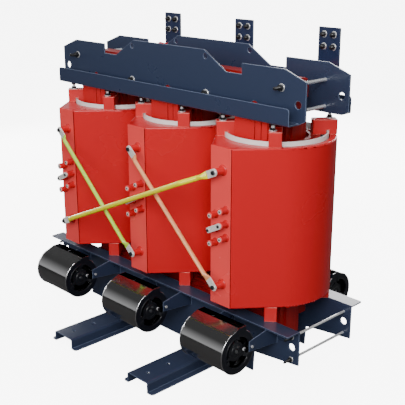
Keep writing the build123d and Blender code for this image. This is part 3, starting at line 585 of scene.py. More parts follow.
    def tube(self, path: Sequence[Vector], radii: Sequence[float], steps: int = 10,
             material: int = 0) -> None:
        """Round bar along a line of points, closed at both ends.

        Args:
            path: The points of its middle line.
            radii: Its radius at each point.
            steps: Facets round it.
            material: Number of the finish that it takes.
        """
        rings = []
        side = None
        for k, spot in enumerate(path):
            run = (path[min(k + 1, len(path) - 1)] - path[max(k - 1, 0)]).normalized()
            side = run.orthogonal().normalized() if side is None else side
            side = (side - run * side.dot(run)).normalized()
            over = run.cross(side)
            turns = [2.0 * math.pi * s / steps for s in range(steps)]
            rings.append([self.bm.verts.new(spot + (side * math.cos(t) + over * math.sin(t))
                                            * radii[k]) for t in turns])
        ends = [[self.bm.verts.new(path[0])], [self.bm.verts.new(path[-1])]]
        self.skin_rings([ends[0], *rings, ends[1]], steps, material)

    def weld(self, start: Vector, end: Vector, radius: float) -> None:
        """Rippled weld bead along a straight corner.

        Args:
            start: One end of the corner.
            end: Its other end.
            radius: Radius of the bead at the top of its ripples.
        """
        ripple = 0.9 * radius                  # distance from one ripple to the next
        dip = 0.14                             # shares of the radius, here and in the two lines below
        wander = 0.05
        tip = 0.4
        count = max(4, int((end - start).length / ripple) * 2)
        path = [start.lerp(end, k / count) for k in range(count + 1)]
        radii = [radius * (1 - dip + dip * (k % 2) + wander * math.sin(1.7 * k))
                 for k in range(count + 1)]
        radii[0] = radii[-1] = radius * tip
        self.tube(path, radii, steps=8)

    def piece(self, name: str, finishes: Sequence[Finish], body: str = "root",
              nodes: Iterable[str] = ()) -> bpy.types.Object:
        """Close the form off as a piece of the unit.

        Args:
            name: The piece's name.
            finishes: Its finishes, one material each, in order.
            body: The body that it rides on.
            nodes: The frame's nodes that it stands for.

        Returns:
            The new object.
        """
        bmesh.ops.recalc_face_normals(self.bm, faces=self.bm.faces[:])
        for face in self.bm.faces:
            face.smooth = True
        for edge in self.bm.edges:
            edge.smooth = not (edge.is_manifold and edge.calc_face_angle() > SHARP_ANGLE)
        mesh = bpy.data.meshes.new(name)
        self.bm.to_mesh(mesh)
        self.bm.free()
        packed_normals = mesh.attributes.get("custom_normal")
        if packed_normals is not None:
            mesh.attributes.remove(packed_normals)
        for finish in finishes:
            mesh.materials.append(finish.material())
        made = bpy.data.objects.new(name, mesh)
        bpy.context.scene.collection.objects.link(made)
        weighted = made.modifiers.new("weighted_normals", "WEIGHTED_NORMAL")
        weighted.keep_sharp = True
        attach(made, body)
        if nodes:
            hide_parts(*nodes)
        LOG.info("%s: %d faces on %s", name, len(mesh.polygons), body)
        return made


def islands(node: str) -> list[Corners]:
    """List the separate solids of a node.

    Args:
        node: Name of the frame's node.

    Returns:
        The lowest and highest corner of each solid.
    """
    bm = bmesh.new()
    bm.from_mesh(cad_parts[node].data)
    bmesh.ops.remove_doubles(bm, verts=bm.verts[:], dist=WELD_GAP)
    left = set(bm.verts)
    found = []
    while left:
        reached = [left.pop()]
        for vert in reached:
            fresh = [e.other_vert(vert) for e in vert.link_edges if e.other_vert(vert) in left]
            left.difference_update(fresh)
            reached += fresh
        low = Vector([min(v.co[k] for v in reached) for k in range(3)])
        high = Vector([max(v.co[k] for v in reached) for k in range(3)])
        found.append((low, high))
    bm.free()
    return sorted(found, key=lambda c: tuple(round(x, 4) for x in (*c[0], *c[1])))


def refined(node: str, finish: Finish, width: float, body: str = "root",
            segments: int = 2) -> bpy.types.Object:
    """Replace a node by its own shape with rounded corners and smooth curves.

    Args:
        node: Name of the frame's node.
        finish: Its finish.
        width: How far the rounding of its corners reaches.
        body: The body that it rides on.
        segments: Facets across the rounding.

    Returns:
        The new piece.
    """
    return rounded(Form.of_node(node), node, finish, width, body, segments)


def rounded(form: Form, node: str, finish: Finish, width: float, body: str = "root",
            segments: int = 2) -> bpy.types.Object:
    """Round a form's corners over and let it stand for a node.

    Args:
        form: The form, with square corners.
        node: Name of the frame's node.
        finish: Its finish.
        width: How far the rounding of its corners reaches.
        body: The body that it rides on.
        segments: Facets across the rounding.

    Returns:
        The new piece.
    """
    # the rounding takes the finish's painted edge highlight, where it has one
    finishes = [finish, finish.rim()] if finish.edge_highlight_colour else [finish]
    form.soften(width, segments, len(finishes) - 1)
    return form.piece(f"{node}_finished", finishes, body, [node])


# ---------------------------------------------------------------- sub-assemblies
class CoilFinish(IntEnum):
    """Number of each finish on a cast coil, after that of its body."""

    # rounded corners, in a lighter red painted as a highlight
    RIM = 1
    # terminal panel, in a lighter red painted as sheen
    PANEL = 2
    # panel's sides, in a dark red painted as shadow
    PAINTED_SHADE = 3


@dataclass
class Windings:
    """Cast coils, the windings and barriers inside them, and their support blocks."""

    cast_round: float = 0.0018
    block_round: float = 0.0022
    board_round: float = 0.0008
    flat_y: float = 0.345          # terminal face, from the unit's middle
    face_slack: float = 0.0005     # corners this little behind the terminal face are on it
    proud: float = 0.0015          # corners further in front of it than this belong to a boss
    boss_reach: float = 0.027      # no corner of a terminal boss is further from its axis
    boss_share: float = 0.68       # radius of a terminal boss against that of the solid
    boss_radius: float = 0.0178
    boss_flare: float = 0.007
    tap_reach: float = 0.0165      # no corner of a tap boss is further from its axis
    tap_radius: float = 0.015
    tap_flare: float = 0.004
    sunk: float = 0.0005           # how far a fillet starts behind the panel
    buried: float = 0.001          # how far a fillet ends inside its boss
    panel_x: tuple[float, float] = (-0.0615, 0.0585)       # its sides, from the coil's axis
    panel_step: float = 0.004
    guard_y: tuple[float, float] = (-0.170, -0.158)
    guard_z: tuple[float, float] = (1.146, 1.243)
    guard_x: tuple[float, ...] = (-0.096, 0.022, 0.026, 0.060, 0.063, 0.096)   # from the coil's axis
    slot_top: float = 1.205

    def build(self) -> None:
        """Build the three phases."""
        for phase in PHASES:
            self.cast_coil(phase)
            refined(f"lv_coil_{phase}", FOIL_RESIN, self.board_round)
            refined(f"barrier_cylinder_{phase}", BARRIER_LAMINATE, self.cast_round)
            refined(f"top_spacers_{phase}", BLOCK_RESIN, self.block_round)
            refined(f"bottom_spacers_{phase}", BLOCK_RESIN, self.block_round)
            self.lead_guard(phase)

    def cast_coil(self, phase: str) -> None:
        """Coil with slim terminal bosses, drawn-out tap bosses and a fillet round each foot.

        Args:
            phase: Letter of the phase.
        """
        form = Form.of_node(f"hv_coil_{phase}")
        terminals = self.bosses(phase, "hv_terminal_bolts")
        taps = self.bosses(phase, "tap_inserts")
        on_face = self.face_slack - self.flat_y
        in_front = -self.proud - self.flat_y
        for axis in terminals:
            form.shift(lambda co: co.y < on_face and (co.xz - axis).length < self.boss_reach,
                       lambda co: self.slimmed(co, axis))
        for axis in taps:
            form.shift(lambda co: co.y < in_front and (co.xz - axis).length < self.tap_reach,
                       lambda co: co - Vector((0.0, TAP_REACH, 0.0)))
        # the rounding takes the lighter red: painted highlight
        form.soften(self.cast_round, segments=3, material=CoilFinish.RIM)
        self.panel(form, phase)
        for axis in terminals:
            self.fillet(form, axis, self.boss_radius, self.boss_flare)
        for axis in taps:
            self.fillet(form, axis, self.tap_radius, self.tap_flare)
        form.piece(f"cast_coil_{phase}", [CAST_EPOXY, CAST_EPOXY.rim(), SHEEN_PANEL_RESIN, SHADE_RED_RESIN],
                   "root", [f"hv_coil_{phase}"])

    def panel(self, form: Form, phase: str) -> None:
        """Raised panel over the terminal face in a lighter red as painted sheen, with a painted shadow
        line down each side.

        Args:
            form: The coil's form.
            phase: Letter of the phase.
        """
        middle = self.middle(phase)
        foot, top = (corner.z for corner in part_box(f"hv_coil_{phase}"))
        inset = self.cast_round
        form.block(Vector((middle + self.panel_x[0], -self.flat_y - self.panel_step, foot + inset)),
                   Vector((middle + self.panel_x[1], -self.flat_y + inset, top - inset)),
                   CoilFinish.PANEL)
        for face in form.bm.faces:
            if face.material_index == CoilFinish.PANEL and abs(face.normal.x) > SIDEWAYS:
                face.material_index = CoilFinish.PAINTED_SHADE

    def middle(self, phase: str) -> float:
        """Return the X of a coil's axis."""
        low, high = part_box(f"lv_coil_{phase}")
        return (low.x + high.x) / 2

    def slimmed(self, place: Vector, axis: Vector) -> Vector:
        """Return a corner of a terminal boss, drawn in towards the boss's axis."""
        drawn = axis + (place.xz - axis) * self.boss_share
        return Vector((drawn.x, place.y, drawn.y))

    def bosses(self, phase: str, node: str) -> list[Vector]:
        """List the axes of one coil's bosses.

        Args:
            phase: Letter of the phase.
            node: The frame's node with a solid in each boss.

        Returns:
            The X and Z of each axis.
        """
        low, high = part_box(f"hv_coil_{phase}")
        spots = [(solid[0] + solid[1]) / 2 for solid in islands(node)]
        return [spot.xz for spot in spots if low.x < spot.x < high.x]

    def lead_guard(self, phase: str) -> None:
        """Upright boards between the two front blocks, with a slot and a seam, their rounded corners
        dark red as painted shade.

        Args:
            phase: Letter of the phase.
        """
        middle = self.middle(phase)
        form = Form()
        left, slot_left, slot_right, seam_left, seam_right, right = self.guard_x
        foot, top = self.guard_z
        for start, end, under in ((left, slot_left, foot), (slot_left, slot_right, self.slot_top),
                                  (slot_right, seam_left, foot), (seam_right, right, foot)):
            form.block(Vector((middle + start, self.guard_y[0], under)),
                       Vector((middle + end, self.guard_y[1], top)))
        # the rounding takes the dark red: painted shade along the boards' edges, slot and seam
        form.soften(self.board_round, material=SECOND)
        form.piece(f"lead_guard_{phase}", [BLOCK_RESIN, SHADE_RED_RESIN])

    def fillet(self, form: Form, axis: Vector, radius: float, flare: float) -> None:
        """Hollow fillet where a boss grows out of the terminal face.

        Args:
            form: The coil's form.
            axis: X and Z of the boss's axis.
            radius: Radius of the boss at its foot.
            flare: How far the fillet spreads.
        """
        steps = 6
        profile = [(radius + flare, -self.sunk)]
        for k in range(steps + 1):
            turn = math.pi / 2 * k / steps
            profile.append((radius + flare * (1 - math.sin(turn)), flare * (1 - math.cos(turn))))
        profile.append((radius - self.buried, flare))
        face = -self.flat_y - self.panel_step
        form.lathe(Heading.FRONT.at(axis.x, face, axis.y), profile, steps=40)


@dataclass
class CoreAndClamps:
    """Laminated core, pressboard bars, clamps and their welds."""

    sheet_round: float = 0.0006
    plate_round: float = 0.0016
    bead: float = 0.0034
    flange_reach: float = 0.268    # edge of the lower clamps' flanges, from the unit's middle
    flange_under: float = 0.342    # underside of those flanges
    bracket_wall: float = 0.004
    web_gap: float = 0.004         # free run of a bracket's bead at the web
    edge_gap: float = 0.006        # and at the flange's edge
    foot_gap: float = 0.045        # free run of a foot's bead at each side of its channel
    trough_gap: float = 0.050      # free run of the trough's bead at each end
    lip_inner: float = 0.2335      # corners further out than this are the lip's
    lip_draw: float = 0.028
    lip_end: float = 0.806         # end of the lip, from the unit's middle
    lip_top: float = 1.320
    lip_round: float = 0.042       # radius of the lip's ends as the solid has it
    squareness: float = 8.0        # 2 is a round end, and more is squarer

    def build(self) -> None:
        """Build core, pads, clamps and welds."""
        refined("core_frame", CORE_ENAMEL, self.sheet_round)
        refined("upper_yoke", CORE_ENAMEL, self.sheet_round)
        refined("upper_yoke_pads", PRESSBOARD, self.plate_round)
        refined("lower_yoke_pads", PRESSBOARD, self.plate_round)
        for side in SIDES:
            self.upper_clamp(side)
            refined(f"lower_clamp_{side}", SLATE_COAT, self.plate_round)
            self.welds(side)

    def upper_clamp(self, side: str) -> None:
        """Upper clamp with its trough's lip drawn in.

        Args:
            side: Front or back.
        """
        draw = Vector((0.0, SIDES[side] * self.lip_draw, 0.0))
        form = Form.of_node(f"upper_clamp_{side}")
        form.shift(lambda co: abs(co.y) > self.lip_inner, lambda co: self.squared(co) - draw)
        rounded(form, f"upper_clamp_{side}", SLATE_COAT, self.plate_round)

    def squared(self, place: Vector) -> Vector:
        """Return a corner of the lip, with the lip's own rounded ends made squarer.

        Args:
            place: The corner as the solid has it.

        Returns:
            Its new place.
        """
        middle = Vector((math.copysign(self.lip_end - self.lip_round, place.x), place.y,
                         self.lip_top - self.lip_round))
        out = place - middle
        if out.z <= WELD_GAP or out.x * place.x <= WELD_GAP:
            return place.copy()
        along, up = abs(out.x) / out.length, out.z / out.length
        reach = (along ** self.squareness + up ** self.squareness) ** (-1.0 / self.squareness)
        return middle + out * reach

    def welds(self, side: str) -> None:
        """Beads that hold the fan brackets, the feet and the trough on one side.

        Args:
            side: Front or back.
        """
        form = Form()
        sign = SIDES[side]
        for phase in PHASES:
            low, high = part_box(f"fan_housing_{side}_{phase}")
            start, end = LOWER_FACE + self.web_gap, self.flange_reach - self.edge_gap
            for x in (low.x - self.bracket_wall, high.x + self.bracket_wall):
                form.weld(Vector((x, sign * start, self.flange_under)),
                          Vector((x, sign * end, self.flange_under)), self.bead)
        for end in ENDS:
            low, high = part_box(f"base_channel_{end}")
            form.weld(Vector((low.x + self.foot_gap, sign * LOWER_FACE, high.z)),
                      Vector((high.x - self.foot_gap, sign * LOWER_FACE, high.z)), self.bead)
        low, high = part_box(f"upper_clamp_{side}")
        form.weld(Vector((low.x + self.trough_gap, sign * UPPER_FACE, TROUGH_FLOOR)),
                  Vector((high.x - self.trough_gap, sign * UPPER_FACE, TROUGH_FLOOR)), self.bead)
        form.piece(f"weld_beads_{side}", [SLATE_COAT])


@dataclass
class BaseChannels:
    """Hat-section feet."""

    edge_round: float = 0.0014

    def build(self) -> None:
        """Build both channels."""
        for end in ENDS:
            refined(f"base_channel_{end}", SLATE_COAT, self.edge_round)


@dataclass
class Fasteners:
    """Studs, nuts, washers and bolts, placed where the frame has them.

    Radii and heights are shares of the stud's radius, apart from the rounding.
    """

    washer: float = 2.1
    washer_height: float = 1 / 3
    nut: float = 1.75
    nut_height: float = 5 / 3
    palm_nut: float = 1.7
    palm_nut_height: float = 1.8 - 1 / 3
    press_foot: float = 2.2
    press_foot_height: float = 0.5
    press_nut: float = 1.6
    press_nut_heights: tuple[float, ...] = (1.3, 1.0, 1.5)     # from the foot up
    driven_washer: float = 2.0
    driven_head: float = 1.7
    driven_height: float = 1.6     # head and washer together
    fan_bolt_round: float = 0.0005

    def build(self) -> None:
        """Build every fastener."""
        self.through("yoke_bolts", UPPER_FACE)
        self.through("upper_tie_rods", UPPER_FACE)
        self.through("lower_tie_rods", LOWER_FACE)
        self.press_bolts()
        self.driven("hv_terminal_bolts")
        self.driven("tap_bolts", TAP_REACH)
        self.palm_bolts()
        refined("fan_bolts", ZINC_PLATE, self.fan_bolt_round)

    def fixed_end(self, form: Form, heading: Heading, face: tuple[float, float, float],
                  radius: float, reach: float, nut: tuple[float, float]) -> None:
        """Bright washer, black nut and black thread at one end of a stud.

        Args:
            form: The fasteners' form.
            heading: Way that the end points.
            face: Where the stud comes out of what it holds.
            radius: The stud's radius.
            reach: How far the stud stands out.
            nut: Corner radius and height of the nut, as shares of the stud's radius.
        """
        x, y, z = face
        thick = radius * self.washer_height
        seat = heading.at(x, y + heading.value[1] * thick, z)
        form.washer(heading.at(x, y, z), radius * self.washer, thick)
        form.nut(seat, radius * nut[0], radius * nut[1], SECOND)
        form.thread(seat, radius, reach - thick, SECOND)

    def through(self, node: str, face: float) -> None:
        """Studs from front to back with a washer and nut outside each clamp.

        Args:
            node: The frame's node that holds them.
            face: Distance of the clamps' outer faces from the middle.
        """
        form = Form()
        for low, high in islands(node):
            x, z = (low.x + high.x) / 2, (low.z + high.z) / 2
            radius = (high.x - low.x) / 2 / self.washer
            form.rod(Heading.BACK.at(x, -face, z), radius, 2 * face, 24)
            for heading, reach in ((Heading.FRONT, -low.y - face), (Heading.BACK, high.y - face)):
                self.fixed_end(form, heading, (x, heading.value[1] * face, z), radius, reach,
                               (self.nut, self.nut_height))
        form.piece(f"{node}_finished", [ZINC_PLATE, BLACK_OXIDE], "root", [node])

    def palm_bolts(self) -> None:
        """Bolts with washer and nut through the low-voltage palms."""
        form = Form()
        for low, high in islands("lv_terminal_bolts"):
            x, z = (low.x + high.x) / 2, (low.z + high.z) / 2
            radius = (high.x - low.x) / 2 / self.washer
            form.rod(Heading.BACK.at(x, PALM_FRONT, z), radius, PALM_BACK - PALM_FRONT)
            for heading, face, reach in ((Heading.FRONT, PALM_FRONT, PALM_FRONT - low.y),
                                         (Heading.BACK, PALM_BACK, high.y - PALM_BACK)):
                self.fixed_end(form, heading, (x, face, z), radius, reach,
                               (self.palm_nut, self.palm_nut_height))
        form.piece("lv_terminal_bolts_finished", [ZINC_PLATE, BLACK_OXIDE], "root",
                   ["lv_terminal_bolts"])

    def press_bolts(self) -> None:
        """Studs through the trough floors that hold the support blocks down."""
        form = Form()
        for low, high in islands("press_bolts"):
            x, y = (low.x + high.x) / 2, (low.y + high.y) / 2
            radius = (high.x - low.x) / 2 / self.press_foot
            thick = radius * self.press_foot_height
            foot = Heading.UP.at(x, y, low.z)
            form.washer(foot, radius * self.press_foot, thick)
            form.thread(foot, radius, high.z - low.z)
            seats = (Heading.UP.at(x, y, low.z + thick), Heading.DOWN.at(x, y, TROUGH_FOOT),
                     Heading.UP.at(x, y, TROUGH_FLOOR))
            for seat, height in zip(seats, self.press_nut_heights):
                form.nut(seat, radius * self.press_nut, radius * height, SECOND)
        form.piece("press_bolts_finished", [ZINC_PLATE, BLACK_OXIDE], "root", ["press_bolts"])

    def driven(self, node: str, forward: float = 0.0) -> None:
        """Black hexagon bolts on bright washers, driven in from the front.

        Args:
            node: The frame's node that holds them.
            forward: How far in front of the frame's they stand.
        """
        form = Form()
        for low, high in islands(node):
            x, z = (low.x + high.x) / 2, (low.z + high.z) / 2
            radius = (high.x - low.x) / 2 / self.driven_washer
            height = self.driven_height * radius
            seat = low.y + height - forward
            thick = radius * self.washer_height
            form.washer(Heading.FRONT.at(x, seat, z), radius * self.driven_washer, thick, SECOND)
            form.nut(Heading.FRONT.at(x, seat - thick, z), radius * self.driven_head, height - thick)
            form.rod(Heading.BACK.at(x, seat, z), radius, high.y - forward - seat)
        form.piece(f"{node}_finished", [BLACK_OXIDE, ZINC_PLATE], "root", [node])


@dataclass
class TapBoard:
    """Tap sleeves in the bosses, and the link across one pair on each coil."""

    sleeve_round: float = 0.0006
    link_round: float = 0.0012
    eye: float = 0.0048            # radius of the dark eye in a sleeve
    eye_depth: float = 0.001

    def build(self) -> None:
        """Build sleeves, links and eyes."""
        for node, width in (("tap_inserts", self.sleeve_round), ("tap_links", self.link_round)):
            form = Form.of_node(node)
            form.shift(lambda co: True, lambda co: co - Vector((0.0, TAP_REACH, 0.0)))
            rounded(form, node, TINNED_COPPER, width)
        form = Form()
        for low, high in islands("tap_inserts"):
            place = Heading.BACK.at((low.x + high.x) / 2, low.y - TAP_REACH, (low.z + high.z) / 2)
            form.washer(place @ Matrix.Translation((0.0, 0.0, -self.eye_depth / 2)), self.eye,
                        self.eye_depth)
        form.piece("tap_eyes", [BLACK_OXIDE])


@dataclass
class DeltaBars:
    """Sleeved round bars with bare flattened palms."""

    edge_round: float = 0.0012
    palm_length: float = 0.036

    def build(self) -> None:
        """Build the three bars."""
        finishes = {"ab": GREEN_SLEEVE, "bc": ORANGE_SLEEVE, "ca": YELLOW_SLEEVE}
        for pair, finish in finishes.items():
            self.bar(pair, finish)

    def ends(self, pair: str) -> tuple[Vector, Vector]:
        """Find the bolts at the two ends of a bar.

        Args:
            pair: The two phases that it joins.

        Returns:
            Middle of the bolt at its left end, and of that at its right end.
        """
        bolts = [(low + high) / 2 for low, high in islands("hv_terminal_bolts")]
        low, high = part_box(f"delta_bar_{pair}")
        inside = [b for b in bolts if low.x < b.x < high.x and low.z < b.z < high.z]
        rise = 1.0 if pair == "ca" else -1.0       # the long bar rises to the right, the others fall
        inside.sort(key=lambda bolt: (bolt.x, rise * bolt.z))
        return inside[0], inside[-1]

    def bar(self, pair: str, finish: Finish) -> None:
        """One bar, coloured where the sleeve is and bright at the palms.

        Args:
            pair: The two phases that it joins.
            finish: Finish of its sleeve.
        """
        form = Form.of_node(f"delta_bar_{pair}").soften(self.edge_round)
        start, end = self.ends(pair)
        run = end - start
        run.y = 0.0
        length = run.length
        run.normalize()
        for face in form.bm.faces:
            along = (face.calc_center_median() - start).dot(run)
            face.material_index = int(along < self.palm_length or along > length - self.palm_length)
        form.piece(f"delta_bar_{pair}_sleeved", [finish, TINNED_COPPER], "root", [f"delta_bar_{pair}"])


@dataclass
class LowVoltageBars:
    """Enamelled bars with their palms, and the ribbed resin posts behind the clamp."""

    bar_round: float = 0.0013
    post_radius: float = 0.024
    shed_radius: float = 0.033
    shed_places: tuple[float, ...] = (0.35, 0.55, 0.75)        # shares of the post's length
    ease: float = 0.001            # step that breaks the posts' corners
    bolt: float = 0.008            # radius of the stud
    nut: float = 1.7               # corner radius and height of the nut, in radii of the stud
    nut_height: float = 1.4

    def build(self) -> None:
        """Build bars and posts."""
        for phase in PHASES:
            refined(f"lv_terminal_{phase}", BAR_ENAMEL, self.bar_round)
        form = Form()
        for low, high in islands("lv_post_insulators"):
            self.post(form, (low.x + high.x) / 2, (low.z + high.z) / 2, high.y)
        form.piece("lv_posts", [BLOCK_RESIN, ZINC_PLATE], "root", ["lv_post_insulators"])

    def shed(self, middle: float) -> Profile:
        """Outline of one shed, steep in front and sloped behind.

        Args:
            middle: Its place along the post.

        Returns:
            Radius and height of each ring.
        """
        radius, rim, ease = self.post_radius, self.shed_radius, self.ease
        front, back = middle - radius / 2, middle + radius / 2
        return [(radius, front - 3 * ease), (radius + ease, front - ease), (rim - 2 * ease, front),
                (rim, front + 2 * ease), (rim - ease, front + 4 * ease), (radius + ease, back),
                (radius, back + 2 * ease)]

    def post(self, form: Form, x: float, z: float, tip: float) -> None:
        """One ribbed post with its stud and nut.

        Args:
            form: The posts' form.
            x: Place of its axis.
            z: Height of its axis.
            tip: Rear end of its stud.
        """
        length = PALM_FRONT - UPPER_FACE
        radius, ease = self.post_radius, self.ease
        profile = [(0.0, 0.0), (radius - ease, 0.0), (radius, ease)]
        for share in self.shed_places:
            profile += self.shed(share * length)
        profile += [(radius, length - ease), (radius - ease, length), (0.0, length)]
        form.lathe(Heading.BACK.at(x, UPPER_FACE, z), profile, steps=40)
        form.nut(Heading.BACK.at(x, PALM_BACK, z), self.nut * self.bolt, self.nut_height * self.bolt,
                 SECOND)
        form.thread(Heading.BACK.at(x, PALM_FRONT, z), self.bolt, tip - PALM_FRONT, SECOND)


@dataclass
class CoolingFan:
    """Drum fan: scroll casing with rolled rims, wheel and motor."""

    name: str
    casing_round: float = 0.0008
    blade_round: float = 0.0004
    motor_round: float = 0.0009
    radius: float = 0.100
    bead: float = 0.0022           # radius of the rolled rims
    mouth: tuple[float, float] = (60.0, 112.0)     # degrees that the outlet takes up
    ring_steps: int = 64
    inlet: float = 0.070
    lip_middle: float = 0.003      # radius of the lip's crest, out from the inlet
    lip_width: float = 0.0024      # half the width of the lip
    lip_height: float = 0.0021
    lip_start: tuple[float, float] = (-0.0005, -0.004)     # radius from the inlet's, and height
    lip_end: tuple[float, float] = (0.008, -0.001)
    motor: float = 0.040
    motor_length: float = 0.056
    motor_steps: int = 48
    hub_inset: float = 0.012
    rib_count: int = 6
    rib_pitch: float = 0.006
    rib_height: float = 0.0025
    rib_width: float = 0.003
    rib_slope: float = 0.0004
    rib_ends: tuple[float, float] = (0.006, 0.010)         # from motor's end to sleeve and first rib
    sunk: float = 0.001            # how far the ribs' ends go into the motor
    cap: Profile = ((0.012, 0.0), (0.030, 0.0), (0.0285, 0.0025), (0.024, 0.004), (0.013, 0.0045),
                    (0.012, 0.0))
    gland: tuple[float, float, float] = (0.016, 0.030, 0.008)      # place, from the hub
    gland_corner: float = 0.0085
    gland_height: float = 0.0075

    def build(self) -> None:
        """Build casing, trim, wheel and motor."""
        self.casing()
        self.trim()
        refined(f"fan_impeller_{self.name}", WHEEL_ALLOY, self.blade_round, f"impeller_{self.name}", 1)
        self.drive()

    @property
    def rear(self) -> float:
        """Sign of Y from the shaft towards the unit."""
        return 1.0 if self.name.startswith("front") else -1.0

    def centre(self) -> Vector:
        """Find the middle of the drum, on its shaft.

        Returns:
            The middle.
        """
        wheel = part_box(f"fan_impeller_{self.name}")
        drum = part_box(f"fan_housing_{self.name}")
        return Vector(((drum[0].x + drum[1].x) / 2, (wheel[0].y + wheel[1].y) / 2,
                       (wheel[0].z + wheel[1].z) / 2))

    def casing(self) -> None:
        """Casing with bright gloss drum and dull end plates."""
        form = Form.of_node(f"fan_housing_{self.name}")
        for face in form.bm.faces:
            face.material_index = int(abs(face.normal.x) > SIDEWAYS)
        form.soften(self.casing_round)
        form.piece(f"fan_casing_{self.name}", [DRUM_ENAMEL, END_ENAMEL], "root",
                   [f"fan_housing_{self.name}"])

    def trim(self) -> None:
        """Rolled rims round both ends of the drum and the rounded lip of the inlet."""
        form = Form()
        low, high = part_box(f"fan_housing_{self.name}")
        for x in (low.x + self.bead, high.x - self.bead):
            self.rim(form, x)
        middle = self.centre()
        form.lathe(Heading.RIGHT.at(high.x, middle.y, middle.z), self.lip(), self.ring_steps, SECOND)
        # the rolled rims take the drum's pale rim colour: painted highlight
        form.piece(f"fan_trim_{self.name}", [DRUM_ENAMEL.rim(), END_ENAMEL])

    def rim(self, form: Form, x: float) -> None:
        """Rolled rim round the drum, from one side of its mouth to the other.

        Args:
            form: The trim's form.
            x: Place of the rim along the shaft.
        """
        middle = self.centre()
        start, end = self.mouth
        path = []
        for k in range(self.ring_steps + 1):
            turn = math.radians(end + (360.0 + start - end) * k / self.ring_steps)
            path.append(Vector((x, middle.y + self.rear * self.radius * math.cos(turn),
                                middle.z + self.radius * math.sin(turn))))
        form.tube(path, [self.bead] * len(path), steps=10)

    def lip(self) -> Profile:
        """Outline of the inlet's lip.

        Returns:
            Radius and height of each ring.
        """
        steps = 10
        middle = self.inlet + self.lip_middle
        turns = [math.pi * k / steps for k in range(steps + 1)]
        crest = [(middle - self.lip_width * math.cos(turn), self.lip_height * math.sin(turn))
                 for turn in turns]
        start, end = ((self.inlet + out, level) for out, level in (self.lip_start, self.lip_end))
        return [start, *crest, end]

    def ribs(self) -> Profile:
        """Outline of the motor's ribbed sleeve, from its free end to the hub.

        Returns:
            Radius and height of each ring.
        """
        bare, first = self.rib_ends
        foot, crest, inner = self.motor, self.motor + self.rib_height, self.motor - self.sunk
        profile = [(inner, bare - self.motor_length)]
        for k in range(self.rib_count):
            level = -self.motor_length + first + k * self.rib_pitch
            after = level + self.rib_width
            profile += [(foot, level), (crest, level + self.rib_slope),
                        (crest, after - self.rib_slope), (foot, after)]
        profile.append((inner, -first))
        return profile

    def drive(self) -> None:
        """Motor with cooling ribs, end cap, cable gland and bright stub."""
        form = Form.of_node(f"fan_motor_{self.name}").soften(self.motor_round)
        middle = self.centre()
        middle.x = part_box(f"fan_housing_{self.name}")[1].x - self.hub_inset
        hub = Heading.RIGHT.at(*middle)
        form.lathe(hub, self.ribs(), self.motor_steps)
        form.lathe(hub, self.cap, self.motor_steps)
        along, out, up = self.gland
        gland = Heading.RIGHT.at(middle.x + along, middle.y + self.rear * out, middle.z + up)
        form.nut(gland, self.gland_corner, self.gland_height, SECOND)
        form.piece(f"fan_drive_{self.name}", [MOTOR_ENAMEL, ZINC_PLATE], "root",
                   [f"fan_motor_{self.name}"])


# ---------------------------------------------------------------- studio
@dataclass
class Softbox:
    """One rectangular studio light."""

    name: str
    place: tuple[float, float, float]
    target: tuple[float, float, float]
    size: tuple[float, float]
    power: float

    def build(self) -> None:
        """Hang the light and turn it to its target."""
        light = bpy.data.lights.new(self.name, "AREA")
        light.shape = "RECTANGLE"
        light.size, light.size_y = self.size
        light.energy = self.power
        lamp = bpy.data.objects.new(self.name, light)
        lamp.location = self.place
        sight = Vector(self.target) - Vector(self.place)
        lamp.rotation_euler = sight.to_track_quat("-Z", "Y").to_euler()
        bpy.context.scene.collection.objects.link(lamp)


SOFTBOXES = (
    Softbox("key_light", (3.4, -3.6, 3.4), target=(0.1, 0.0, 0.7), size=(2.0, 2.0), power=235.0),
    Softbox("fill_light", (0.9, -5.0, 2.6), target=(0.0, -0.4, 0.6), size=(2.4, 2.0), power=80.0),
    Softbox("top_light", (0.2, -0.8, 4.4), target=(0.0, 0.0, 0.0), size=(3.0, 3.0), power=75.0),
    Softbox("back_light", (-1.6, 5.0, 3.0), target=(0.0, 0.0, 0.7), size=(3.0, 2.4), power=240.0),
    Softbox("left_light", (-5.0, 1.0, 1.7), target=(0.0, 0.0, 0.7), size=(2.0, 1.8), power=130.0),
)


def grey(level: float) -> tuple[float, float, float, float]:
    """Return an even colour for a shader's socket."""
    return (level, level, level, 1.0)


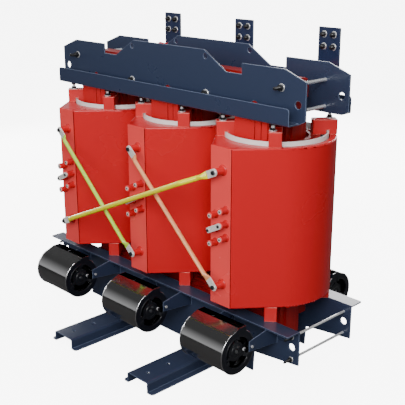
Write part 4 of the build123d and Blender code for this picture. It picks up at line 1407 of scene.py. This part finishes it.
@dataclass
class Studio:
    """Pale floor, soft light and camera."""

    camera_place: tuple[float, float, float] = (2.902, -2.720, 1.970)
    camera_tilt: float = 72.2      # degrees up from straight down
    camera_turn: float = 46.0      # degrees round to the right of the front
    lens: float = 72.7
    floor_half: float = 30.0
    floor_gap: float = 0.0006      # under the feet
    floor_dull: float = 0.08       # grey of the floor to the unit's gloss
    floor_pale: float = 0.9        # grey of the floor to the camera
    glow: float = 7.0              # what floor and surround give off to the camera
    fade: tuple[float, float] = (0.08, 0.55)       # heights where the surround starts to dim and ends
    horizon: float = 0.85
    overhead: float = 0.12

    def build(self) -> None:
        """Set up floor, lights, surround and camera."""
        self.floor()
        for softbox in SOFTBOXES:
            softbox.build()
        self.surround()
        self.camera()

    def floor(self) -> None:
        """Wide pale floor just under the feet, bright to the eye and dull to the unit's gloss."""
        half = self.floor_half
        mesh = bpy.data.meshes.new("studio_floor")
        signs = ((-1, -1), (1, -1), (1, 1), (-1, 1))
        corners = [(x * half, y * half, -self.floor_gap) for x, y in signs]
        mesh.from_pydata(corners, [], [(0, 1, 2, 3)])
        paper = bpy.data.materials.new("studio_paper")
        paper.use_nodes = True
        paper.node_tree.nodes.clear()
        graph = Graph(paper.node_tree)
        seen = graph.add("ShaderNodeLightPath").outputs["Is Camera Ray"]
        dull = graph.add("ShaderNodeBsdfDiffuse", {"Color": grey(self.floor_dull)})
        lit = graph.add("ShaderNodeBsdfDiffuse", {"Color": grey(self.floor_pale)})
        glow = graph.add("ShaderNodeEmission", {"Color": grey(1.0), "Strength": self.glow})
        bright = graph.add("ShaderNodeAddShader", {0: lit.outputs[0], 1: glow.outputs[0]})
        surface = graph.add("ShaderNodeMixShader", {0: seen, 1: dull.outputs[0], 2: bright.outputs[0]})
        graph.add("ShaderNodeOutputMaterial", {"Surface": surface.outputs[0]})
        mesh.materials.append(paper)
        floor = bpy.data.objects.new("studio_floor", mesh)
        bpy.context.scene.collection.objects.link(floor)

    def surround(self) -> None:
        """Surround that is bright at the horizon and dim overhead, for gloss surfaces to show."""
        world = bpy.data.worlds.new("studio_surround")
        world.use_nodes = True
        world.node_tree.nodes.clear()
        graph = Graph(world.node_tree)
        place = graph.add("ShaderNodeTexCoord").outputs["Generated"]
        height = graph.add("ShaderNodeSeparateXYZ", {0: place}).outputs["Z"]
        dimmed = graph.ramp(height, *self.fade, self.horizon, self.overhead)
        seen = graph.add("ShaderNodeLightPath").outputs["Is Camera Ray"]
        level = graph.ramp(seen, 0.0, 1.0, dimmed, self.glow)
        backdrop = graph.add("ShaderNodeBackground", {"Color": grey(1.0), "Strength": level})
        graph.add("ShaderNodeOutputWorld", {"Surface": backdrop.outputs[0]})
        bpy.context.scene.world = world

    def camera(self) -> None:
        """Long lens from the right, a little above the unit."""
        lens = bpy.data.cameras.new("studio_camera")
        lens.lens = self.lens
        lens.sensor_width = 36.0
        lens.clip_end = 100.0
        camera = bpy.data.objects.new("studio_camera", lens)
        camera.location = self.camera_place
        camera.rotation_euler = (math.radians(self.camera_tilt), 0.0, math.radians(self.camera_turn))
        bpy.context.scene.collection.objects.link(camera)
        bpy.context.scene.camera = camera


def main() -> None:
    """Build the unit round the frame, then the studio."""
    logging.basicConfig(level=logging.INFO, format="%(name)s %(message)s")
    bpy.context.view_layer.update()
    builders = [Windings(), CoreAndClamps(), BaseChannels(), Fasteners(), TapBoard(), DeltaBars(),
                LowVoltageBars()]
    builders += [CoolingFan(f"{side}_{phase}") for side in SIDES for phase in PHASES]
    for builder in builders:
        LOG.info("building %s", type(builder).__name__)
        builder.build()
    Studio().build()


if __name__ == "__main__":
    main()
